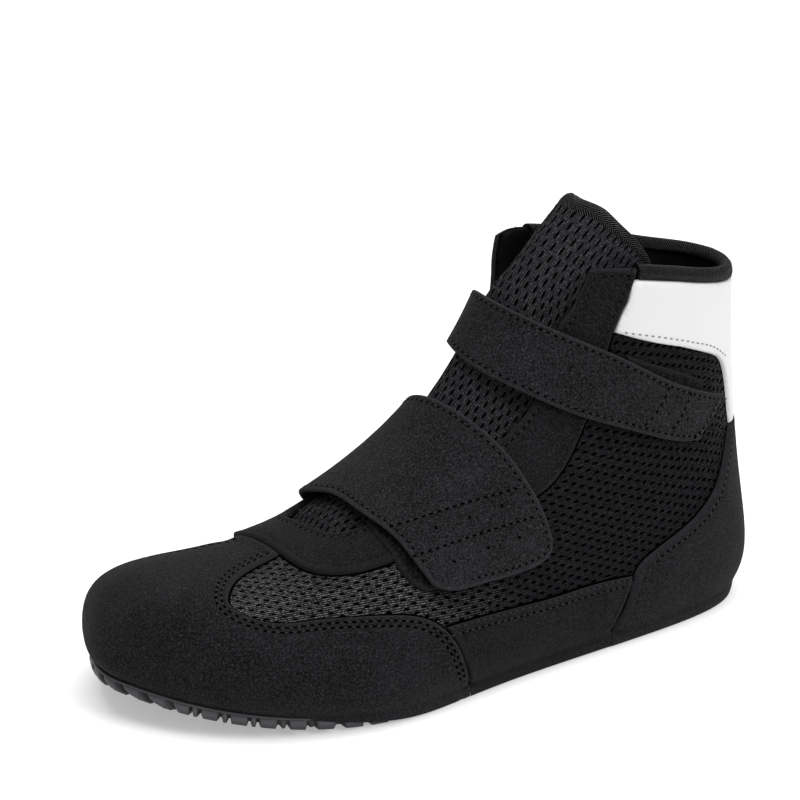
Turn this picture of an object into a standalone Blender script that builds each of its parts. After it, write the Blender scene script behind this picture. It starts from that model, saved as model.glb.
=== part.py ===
import bpy
import bmesh
import numpy as np
from mathutils import Vector
from mathutils.geometry import delaunay_2d_cdt

# One left high-top wrestling shoe with two hook-and-loop straps, standing empty on its sole.
# X runs forward to the toe, Y to the outer side of the foot, Z up. Metres.

# Main sizes.
LENGTH = 0.276
BALL_WIDTH = 0.110
TOP = 0.175
HEEL_REST_X = 0.15

# Sole.
SOLE_SHEET = 0.0025
LUG_DEPTH = 0.0020
TOE_SPRING = 0.012
SPRING_FROM = 0.66
RIM = 0.0007
LUG_PITCH = 0.0105
LUG_LONG = 0.0076
LUG_REACH = 0.013
PAD_INSET = 0.019
FOREFOOT_TREAD_FROM = 0.46
HEEL_TREAD_TO = 0.27
INSOLE_THICK = 0.0025

# Upper and what is sewn on it, as distances from the outer face of the mesh.
GAP = 0.0003
SHELL_WALL = 0.0020
SUEDE = 0.0013
COUNTER_SUEDE = 0.0015
PANEL_THICK = 0.0009
STRAP_THICK = 0.0017
STRAP_ON_SIDE = 0.0023
STRAP_ON_FRONT = 0.0052
PAD_THICK = 0.0012
TONGUE_THICK = 0.0042
TONGUE_BULGE = 0.0058
TONGUE_LEAN = 0.030
LEAN_FROM = 0.128
BINDING_THICK = 0.0012
BINDING_HIGH = 0.0060
SEAM = 0.0008

# Triangle sizes, and what one station and half a girth are worth when panels are filled.
FINE = 0.0075
MIDDLE = 0.0092
COARSE = 0.012
STATION = LENGTH / 14
HALF_GIRTH = BALL_WIDTH * 1.1

# The last as a row of closed loops, from the tip of the toe to above the ankle. Each loop has a
# point on the ridge along the top and one on the base, as shares of LENGTH (x) and TOP (z).
# outer, inner and ridge_y are shares of BALL_WIDTH: how far the two sides reach and where the
# ridge lies. widest is how far down the loop is widest, and round_top and round_base are how
# full it is above and below that.
WIDEST_AT = 0.55
LOOP_COLUMNS = ("ridge_x", "ridge_z", "base_x", "base_z", "outer", "inner", "ridge_y",
                "widest", "round_top", "round_base")
LOOPS = (
    (1.012, 0.142, 1.012, 0.142, -0.105, -0.095, -0.100, 0.61, 0.61, 0.61),
    (0.992, 0.218, 0.991, 0.094, 0.045, -0.285, -0.100, 0.62, 0.61, 0.65),
    (0.959, 0.260, 0.954, 0.060, 0.192, -0.430, -0.100, 0.63, 0.61, 0.70),
    (0.912, 0.276, 0.903, 0.037, 0.316, -0.500, -0.100, 0.65, 0.60, 0.75),
    (0.850, 0.280, 0.844, 0.021, 0.410, -0.508, -0.095, 0.67, 0.59, 0.78),
    (0.777, 0.289, 0.774, 0.008, 0.475, -0.494, -0.090, 0.70, 0.59, 0.80),
    (0.702, 0.314, 0.698, 0.000, 0.505, -0.470, -0.080, 0.72, 0.59, 0.82),
    (0.630, 0.363, 0.614, 0.000, 0.495, -0.438, -0.070, 0.73, 0.58, 0.83),
    (0.564, 0.430, 0.504, 0.000, 0.467, -0.400, -0.060, 0.74, 0.56, 0.83),
    (0.508, 0.507, 0.376, -0.005, 0.445, -0.370, -0.050, 0.74, 0.54, 0.84),
    (0.465, 0.587, 0.236, -0.010, 0.430, -0.352, -0.040, 0.72, 0.54, 0.85),
    (0.433, 0.661, 0.106, -0.006, 0.412, -0.341, -0.030, 0.68, 0.55, 0.83),
    (0.409, 0.724, 0.030, 0.037, 0.385, -0.336, -0.020, 0.62, 0.56, 0.75),
    (0.391, 0.780, 0.008, 0.137, 0.354, -0.331, -0.010, 0.56, 0.565, 0.63),
    (0.378, 0.836, 0.014, 0.280, 0.332, -0.325, 0.000, 0.52, 0.57, 0.57),
    (0.368, 0.889, 0.025, 0.459, 0.321, -0.318, 0.000, 0.505, 0.575, 0.56),
    (0.362, 0.942, 0.033, 0.685, 0.315, -0.313, 0.000, 0.50, 0.58, 0.56),
    (0.359, 1.000, 0.038, 1.000, 0.310, -0.310, 0.000, 0.50, 0.58, 0.57),
)
LAST = len(LOOPS) - 1

# Panel edges on the outer side, as (station, girth): a station is a row of the table above and
# girth runs from 0 on the ridge to 1 under the sole. The inner side mirrors them.
THROAT = ((6.02, -0.04), (6.15, 0.06), (6.65, 0.10), (7.60, 0.135), (8.60, 0.17), (9.50, 0.195),
          (10.90, 0.200), (12.55, 0.190), (13.30, 0.215), (14.20, 0.245), (14.95, 0.265))
COLLAR = ((14.95, 0.265), (15.35, 0.34), (15.63, 0.41), (15.88, 0.51), (16.05, 0.625),
          (16.17, 0.775), (16.24, 0.90), (16.26, 1.0))
BINDING_FROM = 0.415
CAP_TOP = ((5.17, -0.04), (5.17, 0.05))
CAP_WINDOW = ((5.17, 0.05), (4.30, 0.08), (3.72, 0.145), (3.55, 0.20), (3.90, 0.27),
              (4.75, 0.292), (5.45, 0.312), (6.15, 0.35), (6.65, 0.40), (6.93, 0.455),
              (7.12, 0.53), (7.22, 0.61), (7.28, 0.70))
APRON_FRONT = ((5.20, -0.04), (5.20, 0.05), (5.32, 0.135), (5.72, 0.180), (6.45, 0.215),
               (7.50, 0.260), (8.50, 0.295), (9.55, 0.325), (10.95, 0.305), (12.20, 0.312),
               (13.20, 0.325), (14.40, 0.365), (15.58, 0.41))
RAND_FRONT = ((6.95, 0.445), (7.14, 0.53), (7.25, 0.61), (7.31, 0.70))
RAND_TOP = ((6.95, 0.445), (7.90, 0.480), (8.90, 0.510), (9.50, 0.525), (10.00, 0.545))
RAND_BACK = ((9.41, 0.70), (9.47, 0.675), (9.78, 0.585), (10.00, 0.545))
COUNTER_FRONT = ((9.48, 0.70), (9.54, 0.675), (9.84, 0.585), (10.05, 0.545), (10.50, 0.530),
                 (11.20, 0.540), (11.95, 0.570), (12.80, 0.625), (13.60, 0.690), (14.18, 0.745))
COUNTER_TOP = ((14.18, 0.745), (14.46, 0.82), (14.68, 0.90), (14.76, 1.0))
HEEL_PANEL_FRONT = ((15.30, 0.413), (14.50, 0.376), (13.66, 0.350))
HEEL_PANEL_LOW = ((13.66, 0.350), (14.40, 0.480), (14.78, 0.570), (15.02, 0.655), (15.05, 0.712),
                  (14.80, 0.742), (14.45, 0.752))
HEEL_PANEL_HIGH = ((15.30, 0.413), (15.58, 0.51), (15.78, 0.625), (15.90, 0.775), (15.98, 0.90),
                   (16.00, 1.0))
TONGUE_SIDE = ((5.35, -0.04), (5.40, 0.03), (5.75, 0.10), (6.65, 0.19), (8.00, 0.25),
               (9.50, 0.285), (11.00, 0.300), (12.50, 0.330), (14.00, 0.385), (15.30, 0.46))
TONGUE_TOP = ((15.30, 0.46), (15.72, 0.465), (15.92, 0.40), (16.00, 0.30), (16.13, 0.20),
              (16.28, 0.10), (16.35, 0.0))
MIDLINE = 0.04
MIDLINE_UNTIL = (7.0, 10.5)

# Straps run from a sewn end on the inner side, over the front, to a free end on the outer side.
ANKLE_HIGH = ((12.90, -0.50), (12.85, -0.36), (12.62, -0.20), (12.45, -0.10), (12.25, 0.04),
              (12.55, 0.19), (13.25, 0.355), (13.72, 0.485), (14.20, 0.60), (14.52, 0.685))
ANKLE_LOW = ((11.95, -0.50), (11.35, -0.36), (10.85, -0.20), (10.68, -0.10), (10.35, 0.075),
             (10.60, 0.19), (11.00, 0.275), (11.68, 0.37), (12.70, 0.512))
INSTEP_HIGH = ((9.35, -0.47), (9.30, -0.35), (9.22, -0.20), (9.22, -0.085), (9.33, 0.06),
               (9.37, 0.135), (9.40, 0.195), (9.36, 0.28), (9.27, 0.35), (9.15, 0.40))
INSTEP_END = ((9.15, 0.40), (9.02, 0.420), (8.80, 0.427), (8.20, 0.415), (7.60, 0.392),
              (7.10, 0.362), (6.93, 0.335))
INSTEP_LOW = ((7.60, -0.47), (7.20, -0.35), (6.72, -0.20), (6.60, -0.09), (6.72, 0.01),
              (6.72, 0.095), (6.82, 0.185), (6.86, 0.265), (6.93, 0.335))
ANKLE_PAD = ((12.15, 0.362), (13.30, 0.348), (13.98, 0.47), (14.55, 0.60), (14.68, 0.69),
             (13.60, 0.665), (12.85, 0.56))
INSTEP_PAD = ((6.75, 0.23), (7.60, 0.278), (8.50, 0.312), (9.10, 0.335), (9.05, 0.400),
              (8.60, 0.410), (7.60, 0.375), (6.98, 0.325), (6.72, 0.27))

BLACK_SUEDE = (0.020, 0.020, 0.022)
BLACK_MESH = (0.012, 0.012, 0.013)
BLACK_RUBBER = (0.015, 0.015, 0.016)
WHITE = (0.80, 0.80, 0.80)
GREY_LOOP = (0.010, 0.010, 0.011)
BINDING_BLACK = (0.014, 0.014, 0.015)


def spline(knots, values):
    """A smooth curve through the values, with no bend at its two ends."""
    k = np.asarray(knots, float)
    y = np.asarray(values, float)
    n = len(k)
    h = np.diff(k)
    a = np.zeros((n, n))
    b = np.zeros(n)
    a[0, 0] = 1
    a[-1, -1] = 1
    for i in range(1, n - 1):
        a[i, i - 1] = h[i - 1]
        a[i, i] = 2 * (h[i - 1] + h[i])
        a[i, i + 1] = h[i]
        b[i] = 6 * ((y[i + 1] - y[i]) / h[i] - (y[i] - y[i - 1]) / h[i - 1])
    m = np.linalg.solve(a, b)

    def at(s):
        s = np.clip(np.asarray(s, float), k[0], k[-1])
        i = np.clip(np.searchsorted(k, s, side="right") - 1, 0, n - 2)
        p = (k[i + 1] - s) / h[i]
        q = (s - k[i]) / h[i]
        bend = ((p ** 3 - p) * m[i] + (q ** 3 - q) * m[i + 1]) * h[i] ** 2 / 6
        return p * y[i] + q * y[i + 1] + bend

    return at


def column(name, before, size):
    """A column of the loop table as a curve that carries on through the tip of the toe."""
    values = np.array([row[LOOP_COLUMNS.index(name)] for row in LOOPS]) * size
    other = np.array([row[LOOP_COLUMNS.index(before.strip("-"))] for row in LOOPS]) * size
    if before.startswith("-"):
        other = -other
    knots = np.arange(LAST + 1)
    return spline(np.r_[-knots[::-1], knots[1:]], np.r_[other[::-1], values[1:]])


RIDGE_X = column("ridge_x", "base_x", LENGTH)
RIDGE_Z = column("ridge_z", "base_z", TOP)
RIDGE_Y = column("ridge_y", "ridge_y", BALL_WIDTH)
WIDEST = column("widest", "widest", 1)
ROUND_TOP = column("round_top", "round_top", 1)
ROUND_BASE = column("round_base", "round_base", 1)
KNOTS = np.arange(LAST + 1)
BOTH = np.r_[-KNOTS[::-1], KNOTS[1:]]
OUTER = np.array([row[4] for row in LOOPS]) * BALL_WIDTH
INNER = np.array([row[5] for row in LOOPS]) * BALL_WIDTH
HALF = spline(BOTH, np.r_[(-(OUTER - INNER) / 2)[::-1], ((OUTER - INNER) / 2)[1:]])
CENTRE = spline(BOTH, np.r_[((OUTER + INNER) / 2)[::-1], ((OUTER + INNER) / 2)[1:]])


def ease(x):
    x = np.clip(x, 0, 1)
    return x * x * (3 - 2 * x)


def face_point(s, t):
    """A point of the last at station s and girth t, where 1 to 2 is the inner side again."""
    s = np.asarray(s, float)
    t = (np.asarray(t, float) + 1) % 2 - 1
    s, t = np.broadcast_arrays(s, t)
    side = np.where(t >= 0, 1.0, -1.0)
    a = np.abs(t)
    widest = WIDEST(s)
    top = ROUND_TOP(s)
    base = ROUND_BASE(s)
    reach = CENTRE(s) + side * HALF(s) - RIDGE_Y(s)
    up = a < WIDEST_AT
    v = np.where(up, a / WIDEST_AT, (a - WIDEST_AT) / (1 - WIDEST_AT))
    b0 = (1 - v) ** 3
    b1 = 3 * v * (1 - v) ** 2
    b2 = 3 * v * v * (1 - v)
    b3 = v ** 3
    down_up = b2 * widest * (1 - top) + b3 * widest
    out_up = b1 * top + b2 + b3
    down_low = b0 * widest + b1 * (widest + base * (1 - widest)) + b2 + b3
    out_low = b0 + b1 + b2 * base
    down = np.where(up, down_up, down_low)
    out = np.where(up, out_up, out_low)
    x = RIDGE_X(s) + (RIDGE_X(-s) - RIDGE_X(s)) * down
    z = RIDGE_Z(s) + (RIDGE_Z(-s) - RIDGE_Z(s)) * down
    y = RIDGE_Y(s) + reach * out
    return np.stack([x, y, z], -1)


def outward(s, t):
    ds = 0.02
    dt = 0.004
    s = np.clip(np.asarray(s, float), 0.05, LAST - ds)
    along = face_point(s + ds, t) - face_point(s - ds, t)
    t = np.asarray(t, float)
    round_it = face_point(s, t + dt) - face_point(s, t - dt)
    n = np.cross(round_it, along)
    return n / np.maximum(np.linalg.norm(n, axis=-1, keepdims=True), 1e-12)


def place(s, t, off):
    """A point at a distance off from the face of the last."""
    s, t, off = np.broadcast_arrays(np.asarray(s, float), np.asarray(t, float), off)
    return face_point(s, t) + outward(s, t) * off[..., None]


def seat(x):
    """Height of the top of the sole, which springs up toward the toe."""
    share = np.clip((x / LENGTH - SPRING_FROM) / (1 - SPRING_FROM), 0, None)
    return SOLE_SHEET + LUG_DEPTH + TOE_SPRING * share ** 2


def seat_cut(way, side, off, lift):
    """Where the face at a distance off meets the sole. way is 0 at the toe and 3 at the heel:
    up to 1 it turns round the toe, up to 2 it goes back along the side, and then round the heel."""
    way, side, off = np.broadcast_arrays(np.asarray(way, float), side, off)
    from_s = np.clip(3 + (way - 1) * 8, 3, 11)
    toe = np.clip(1 - way, 0, 1) * np.pi / 2
    heel = np.clip(way - 2, 0, 1) * np.pi / 2
    to_s = 1.9 * np.sin(heel) - 2.95 * np.sin(toe)
    to_t = 0.42 * np.cos(toe) * np.cos(heel)
    low = np.zeros(way.shape)
    high = np.ones(way.shape)
    for _ in range(34):
        r = (low + high) / 2
        s = from_s + r * to_s
        t = side * (1 - r * to_t)
        p = place(s, t, off)
        above = p[..., 2] > seat(p[..., 0]) + lift
        high = np.where(above, r, high)
        low = np.where(above, low, r)
    return s, t


WAYS = np.linspace(0, 3, 721)
SEAT_S = {}
SEAT_T = {}
SEAT_LONG = {}
for hand in (1, -1):
    SEAT_S[hand], SEAT_T[hand] = seat_cut(WAYS, hand, 0.0, GAP)
    walk = np.diff(face_point(SEAT_S[hand], SEAT_T[hand]), axis=0)
    SEAT_LONG[hand] = np.r_[0, np.cumsum(np.linalg.norm(walk, axis=1))]


def seat_line(side, first, last, step):
    """Points along the seat from station first to last, both ends included."""
    a = np.interp(first, SEAT_S[side], WAYS)
    b = np.interp(last, SEAT_S[side], WAYS)
    da = np.interp(a, WAYS, SEAT_LONG[side])
    db = np.interp(b, WAYS, SEAT_LONG[side])
    n = max(1, int(round(abs(db - da) / step)))
    way = np.interp(np.linspace(da, db, n + 1), SEAT_LONG[side], WAYS)
    s, t = seat_cut(way, side, 0.0, GAP)
    return [(s[i], t[i], way[i], side) for i in range(n + 1)]


def line(points, step):
    """Points along a smooth edge through the given ones, both ends included."""
    p = np.array(points, float)
    flat = p * [STATION, HALF_GIRTH]
    d = np.r_[0, np.cumsum(np.linalg.norm(np.diff(flat, axis=0), axis=1))]
    n = max(len(p) - 1, int(round(d[-1] / step)))
    k = np.linspace(0, d[-1], n + 1)
    s = spline(d, p[:, 0])(k)
    t = spline(d, p[:, 1])(k)
    return [(s[i], t[i], None, 0) for i in range(n + 1)]


def mirrored(edge):
    """The same edge on the inner side."""
    low, high = MIDLINE_UNTIL
    out = []
    for s, t, way, side in edge:
        if way is not None:
            s2, t2 = seat_cut(np.array([way]), -side, 0.0, GAP)
            out.append((s2[0], t2[0], way, -side))
        elif t > 0.9999:
            out.append((s, -t, None, 0))
        else:
            shift = 2 * MIDLINE * (1 - ease((s - low) / (high - low)))
            shift = shift * (1 - ease((t - 0.30) / 0.3))
            out.append((s, -t - shift, None, 0))
    return out


def join(*edges):
    """One closed edge from several, each starting where the last one ended."""
    out = []
    for edge in edges:
        for e in edge:
            if out and abs(e[0] - out[-1][0]) < 1e-4 and abs(e[1] - out[-1][1]) < 1e-4:
                if e[2] is not None:
                    out[-1] = e
                continue
            out.append(e)
    if abs(out[0][0] - out[-1][0]) < 1e-4 and abs(out[0][1] - out[-1][1]) < 1e-4:
        out.pop()
    return out


def inside(poly, points):
    """Which points lie inside a closed polygon."""
    x = points[:, 0]
    y = points[:, 1]
    result = np.zeros(len(points), bool)
    for i in range(len(poly)):
        x0, y0 = poly[i - 1]
        x1, y1 = poly[i]
        if y0 == y1:
            continue
        crosses = (y0 > y) != (y1 > y)
        result ^= crosses & (x < (x1 - x0) * (y - y0) / (y1 - y0) + x0)
    return result


def triangles(flat, loops):
    """Triangles on flat points that keep the edges of the closed loops."""
    edges = []
    for loop in loops:
        edges += [(loop[i - 1], loop[i]) for i in range(len(loop))]
    found = delaunay_2d_cdt([Vector(p) for p in flat], edges, [], 0, 1e-7)
    origin = [o[0] for o in found[3]]
    return [tuple(origin[i] for i in face) for face in found[2]]


def material(name, colour, rough):
    m = bpy.data.materials.new(name)
    m.use_nodes = True
    shader = m.node_tree.nodes["Principled BSDF"]
    shader.inputs["Base Color"].default_value = (*colour, 1)
    shader.inputs["Roughness"].default_value = rough
    m.diffuse_color = (*colour, 1)
    return m


def build(name, points, faces, colour, rough):
    """An object with one closed body, its faces outward."""
    points = np.asarray(points) - [HEEL_REST_X * LENGTH, 0, 0]
    mesh = bpy.data.meshes.new(name)
    mesh.from_pydata([tuple(p) for p in points], [], faces)
    body = bmesh.new()
    body.from_mesh(mesh)
    bmesh.ops.recalc_face_normals(body, faces=body.faces[:])
    if body.calc_volume(signed=True) < 0:
        bmesh.ops.reverse_faces(body, faces=body.faces[:])
    bmesh.ops.triangulate(body, faces=body.faces[:])
    body.to_mesh(mesh)
    body.free()
    mesh.materials.append(material(name, colour, rough))
    item = bpy.data.objects.new(name, mesh)
    bpy.context.scene.collection.objects.link(item)


def value(rule, s, t):
    return rule(s, t) if callable(rule) else np.full(len(s), float(rule))


def dip(tris, s, t, off):
    """How far the flat triangles round each point fall short of the curved face they follow."""
    result = np.zeros(len(s))
    p = place(s, t, off)
    corners = np.array(tris)
    for share in ((1 / 3, 1 / 3, 1 / 3), (0.5, 0.5, 0), (0, 0.5, 0.5), (0.5, 0, 0.5)):
        w = np.array(share)
        ms = s[corners] @ w
        mt = t[corners] @ w
        short = place(ms, mt, off[corners] @ w) - np.einsum("fkx,k->fx", p[corners], w)
        short = np.einsum("fx,fx->f", short, outward(ms, mt))
        for k in range(3):
            np.maximum.at(result, corners[:, k], short)
    return result


def layer(edge, s, t, off, bend):
    """Points of one face of a panel. Its seat points keep to the top of the sole."""
    s = s.copy()
    t = t.copy()
    seats = [i for i, e in enumerate(edge) if e[2] is not None]
    if seats:
        way = np.array([edge[i][2] for i in seats])
        side = np.array([edge[i][3] for i in seats], float)
        s[seats], t[seats] = seat_cut(way, side, off[seats], GAP)
    p = place(s, t, off)
    return bend(p) if bend else p


def panel(name, edge, step, inner, outer, colour, rough=0.9, bend=None):
    """A sheet between two distances from the last, inside a closed edge."""
    rim = np.array([(e[0], e[1]) for e in edge])
    flat_rim = rim * [STATION, HALF_GIRTH]
    s_low, t_low = rim.min(axis=0)
    s_high, t_high = rim.max(axis=0)
    rows = np.arange(s_low, s_high, step / STATION)[1:]
    columns = np.arange(t_low, t_high, step / HALF_GIRTH)[1:]
    columns = columns + (t_high - columns[-1] - (columns[0] - t_low)) / 2
    grid = np.array([(s, t) for s in rows for t in columns])
    grid = grid[inside(flat_rim, grid * [STATION, HALF_GIRTH])]
    held = [p for p in face_point(rim[:, 0], rim[:, 1])]
    kept = []
    for st, p in zip(grid, face_point(grid[:, 0], grid[:, 1])):
        if min(np.linalg.norm(np.array(held) - p, axis=1)) > 0.62 * step:
            held.append(p)
            kept.append(st)
    flat = np.vstack([rim] + [kept]) if kept else rim
    tris = triangles(flat * [STATION, HALF_GIRTH], [list(range(len(rim)))])
    middles = np.array([flat[list(f)].mean(axis=0) for f in tris]) * [STATION, HALF_GIRTH]
    tris = [f for f, ok in zip(tris, inside(flat_rim, middles)) if ok]
    s = flat[:, 0]
    t = flat[:, 1]
    inner = value(inner, s, t)
    outer = value(outer, s, t)
    short = dip(tris, s, t, inner)
    same = {}
    number = []
    for i in range(len(flat)):
        key = i
        if s[i] < 1e-6:
            key = "tip"
        elif abs(abs(t[i]) - 1) < 1e-6 and t_low < -0.99:
            key = "under %.4f" % s[i]
        number.append(same.setdefault(key, i))
    np.maximum.at(short, number, short.copy())
    inner = inner + short
    if min(inner) > 0:
        outer = outer + short
    tris = [tuple(number[i] for i in f) for f in tris]
    tris = [f for f in tris if len(set(f)) == 3]
    used = sorted({i for f in tris for i in f})
    order = {v: i for i, v in enumerate(used)}
    out = layer(edge, s, t, outer, bend)[used]
    inn = layer(edge, s, t, inner, bend)[used]
    n = len(used)
    tris = [tuple(order[i] for i in f) for f in tris]
    border = {}
    for f in tris:
        for i in range(3):
            a = f[i]
            b = f[(i + 1) % 3]
            if (b, a) in border:
                del border[(b, a)]
            else:
                border[(a, b)] = 1
    faces = list(tris)
    faces += [(f[2] + n, f[1] + n, f[0] + n) for f in tris]
    for a, b in border:
        faces.append((b, a, a + n, b + n))
    build(name, np.vstack([out, inn]), faces, colour, rough)


def unwrapped(edge):
    """The same edge with the inner side counted on from 1 to 2, for panels round the heel."""
    return [(e[0], e[1] + 2 if e[1] < 0 else e[1], e[2], e[3]) for e in edge]


def both_sides(edge):
    """An edge from the middle of the front to the back, with its mirror on the way home."""
    return edge + mirrored(edge)[::-1]


def make_upper():
    step = MIDDLE
    tip = [(0.0, t, None, 0) for t in np.linspace(-1, 1, 13)]
    toe_s = SEAT_S[1][0]
    heel_s = SEAT_S[1][-1]
    seat_out = seat_line(1, toe_s, heel_s, step)
    throat = line(THROAT, step)
    collar = line(COLLAR, step)
    heel = [(s, 1.0, None, 0) for s in np.linspace(heel_s, COLLAR[-1][0], 13)]
    half = seat_out + heel[1:-1] + collar[::-1] + throat[::-1][1:]
    other = mirrored(half)
    edge = join(tip, half, other[::-1])
    panel("upper", edge, step, -SHELL_WALL, 0.0, BLACK_MESH)


def make_toe_cap():
    step = MIDDLE
    tip = [(0.0, t, None, 0) for t in np.linspace(-1, 1, 13)]
    seat_out = seat_line(1, SEAT_S[1][0], 7.30, step)
    half = seat_out + line(CAP_WINDOW, step * 0.8)[::-1] + line(CAP_TOP, step)[::-1]
    panel("toe_cap", join(tip, half, mirrored(half)[::-1]), step, GAP, GAP + SUEDE, BLACK_SUEDE)


def make_apron():
    collar = [e for e in line(COLLAR, FINE * 0.5) if e[1] < 0.405]
    collar = collar[::2]
    half = line(APRON_FRONT, FINE) + collar[::-1] + line(THROAT, FINE)[::-1][1:]
    edge = join(both_sides(half))
    panel("eyestay", edge, FINE, GAP, GAP + SUEDE, BLACK_SUEDE)


def make_rand(name, side):
    front = line(RAND_FRONT, FINE)
    top = line(RAND_TOP, FINE)
    back = line(RAND_BACK, FINE)
    low = seat_line(1, 7.33, 9.38, FINE)
    edge = join(top, back[::-1][1:-1], low[::-1], front[::-1][1:-1])
    if side < 0:
        edge = mirrored(edge)
    panel(name, edge, FINE * 1.3, GAP, GAP + SUEDE, BLACK_SUEDE)


def make_counter():
    low = seat_line(1, 9.46, SEAT_S[1][-1], MIDDLE)
    half = line(COUNTER_TOP, MIDDLE)[::-1] + line(COUNTER_FRONT, MIDDLE)[::-1][1:] + low
    other = unwrapped(mirrored(half))
    edge = join(half, other[::-1])
    panel("heel_counter", edge, MIDDLE, GAP, GAP + COUNTER_SUEDE, BLACK_SUEDE)


def make_heel_panel():
    top = line(HEEL_PANEL_HIGH, FINE)
    side = line(HEEL_PANEL_FRONT, FINE)
    low = line(HEEL_PANEL_LOW, FINE)
    base = [(e[0] + SEAM / STATION, e[1], None, 0) for e in line(COUNTER_TOP, FINE)]
    half = top[::-1] + side[1:] + low[1:] + base[1:]
    edge = join(half, unwrapped(mirrored(half))[::-1])
    panel("heel_panel", edge, MIDDLE, GAP, GAP + PANEL_THICK, WHITE, 0.5)


def tongue_face(s, t):
    """Outer face of the tongue: under the upper at its sides, bulging in the open throat."""
    rise = TONGUE_BULGE * ease((s - 6.6) / 2.6) * (1 - ease((np.abs(t) - 0.02) / 0.16))
    tuck = 0.0017 * ease((np.abs(t) - 0.28) / 0.10)
    return -(SHELL_WALL + 2 * GAP) + rise - tuck


def tongue_lean(p):
    """The empty shoe's tongue leans back above the collar."""
    share = np.clip((p[:, 2] - LEAN_FROM) / (TOP - LEAN_FROM), 0, 1.2)
    p = p.copy()
    p[:, 0] -= TONGUE_LEAN * share ** 2
    return p


def make_tongue():
    half = line(TONGUE_SIDE, MIDDLE) + line(TONGUE_TOP, FINE)[1:]
    edge = join(half, mirrored(half)[::-1])

    def back(s, t):
        return tongue_face(s, t) - TONGUE_THICK

    panel("tongue", edge, MIDDLE, back, tongue_face, BLACK_MESH, 0.9, tongue_lean)


def strap_base(s, t):
    """Under face of a strap: it stands off over the tongue and lies on the sides."""
    share = 1 - ease((np.abs(t) - 0.10) / 0.22)
    return STRAP_ON_SIDE + (STRAP_ON_FRONT - STRAP_ON_SIDE) * share


def strap_face(s, t):
    return strap_base(s, t) + STRAP_THICK


def make_straps():
    edge = join(line(ANKLE_HIGH, FINE), line(ANKLE_LOW, FINE)[::-1])
    panel("ankle_strap", edge, FINE, strap_base, strap_face, BLACK_SUEDE)
    edge = join(line(INSTEP_HIGH, FINE), line(INSTEP_END, FINE), line(INSTEP_LOW, FINE)[::-1])
    panel("instep_strap", edge, FINE * 1.2, strap_base, strap_face, BLACK_SUEDE)


def make_pads():
    for name, corners in (("ankle_loop_pad", ANKLE_PAD), ("instep_loop_pad", INSTEP_PAD)):
        edge = []
        for i in range(len(corners)):
            edge += line((corners[i - 1], corners[i]), FINE)[:-1]
        panel(name, edge, FINE * 1.4, GAP, GAP + PAD_THICK, GREY_LOOP, 1.0)


def make_binding():
    """A tape folded over the edge of the collar, from throat corner to throat corner."""
    collar = [e for e in line(COLLAR, FINE) if e[1] > BINDING_FROM + 0.01]
    start = line(COLLAR, FINE * 0.05)
    first = min(start, key=lambda e: abs(e[1] - BINDING_FROM))
    half = [first] + collar
    path = half + unwrapped(mirrored(half[:-1]))[::-1]
    outer_low = 2 * GAP
    outer_high = outer_low + BINDING_THICK
    inner_low = -SHELL_WALL - GAP
    inner_high = -SHELL_WALL - GAP - BINDING_THICK
    top = GAP + BINDING_THICK
    profile = ((outer_high, -BINDING_HIGH), (outer_high, top - 0.0005), (outer_high - 0.0006, top),
               (inner_high + 0.0006, top), (inner_high, top - 0.0005), (inner_high, -BINDING_HIGH),
               (inner_low, -BINDING_HIGH), (inner_low, GAP), (outer_low, GAP),
               (outer_low, -BINDING_HIGH))
    s = np.array([e[0] for e in path])
    t = np.array([e[1] for e in path])
    pace = np.linalg.norm(face_point(s + 0.02, t) - face_point(s - 0.02, t), axis=1) / 0.04
    rings = [place(s + up / pace, t, off) for off, up in profile]
    n = len(path)
    k = len(profile)
    points = np.vstack(rings)
    faces = []
    for j in range(k):
        for i in range(n - 1):
            a = j * n + i
            b = ((j + 1) % k) * n + i
            faces.append((a, a + 1, b + 1, b))
    for cap in ((0, 1, 8, 9), (1, 2, 3, 4, 7, 8), (4, 5, 6, 7)):
        faces.append(tuple(j * n for j in cap))
        faces.append(tuple(j * n + n - 1 for j in cap[::-1]))
    build("collar_binding", points, faces, BINDING_BLACK, 0.9)


def plan_outline(off):
    """The seat's outline seen from above, closed, from the toe round the outer side."""
    parts = []
    for side in (1, -1):
        s, t = seat_cut(WAYS, side, off, 0.0)
        p = place(s, t, np.full(len(s), off))[:, :2]
        parts.append(p)
    return np.vstack([parts[0], parts[1][::-1][1:-1]])


def along(loop, at):
    """Points at given distances along a closed outline."""
    ring = np.vstack([loop, loop[:1]])
    d = np.r_[0, np.cumsum(np.linalg.norm(np.diff(ring, axis=0), axis=1))]
    at = np.asarray(at) % d[-1]
    return np.stack([np.interp(at, d, ring[:, 0]), np.interp(at, d, ring[:, 1])], -1), d[-1]


def inset(loop, points, deep):
    """Points moved in from the outline toward the middle of the sole."""
    x = np.clip(points[:, 0], 0.13 * LENGTH, 0.80 * LENGTH)
    half = len(loop) // 2
    outer = loop[:half]
    inner = loop[half:]
    y = (np.interp(x, outer[::-1, 0], outer[::-1, 1]) + np.interp(x, inner[:, 0], inner[:, 1])) / 2
    to = np.stack([x, y], -1) - points
    return points + to / np.linalg.norm(to, axis=1, keepdims=True) * deep


def sheet_grid(loop, step):
    """Points inside a plan outline, clear of its edge."""
    xs = np.arange(loop[:, 0].min(), loop[:, 0].max(), step)[1:]
    ys = np.arange(loop[:, 1].min(), loop[:, 1].max(), step)[1:]
    grid = np.array([(x, y) for x in xs for y in ys])
    grid = grid[inside(loop, grid)]
    clear = [min(np.linalg.norm(loop - p, axis=1)) > 0.6 * step for p in grid]
    return grid[clear]


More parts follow.
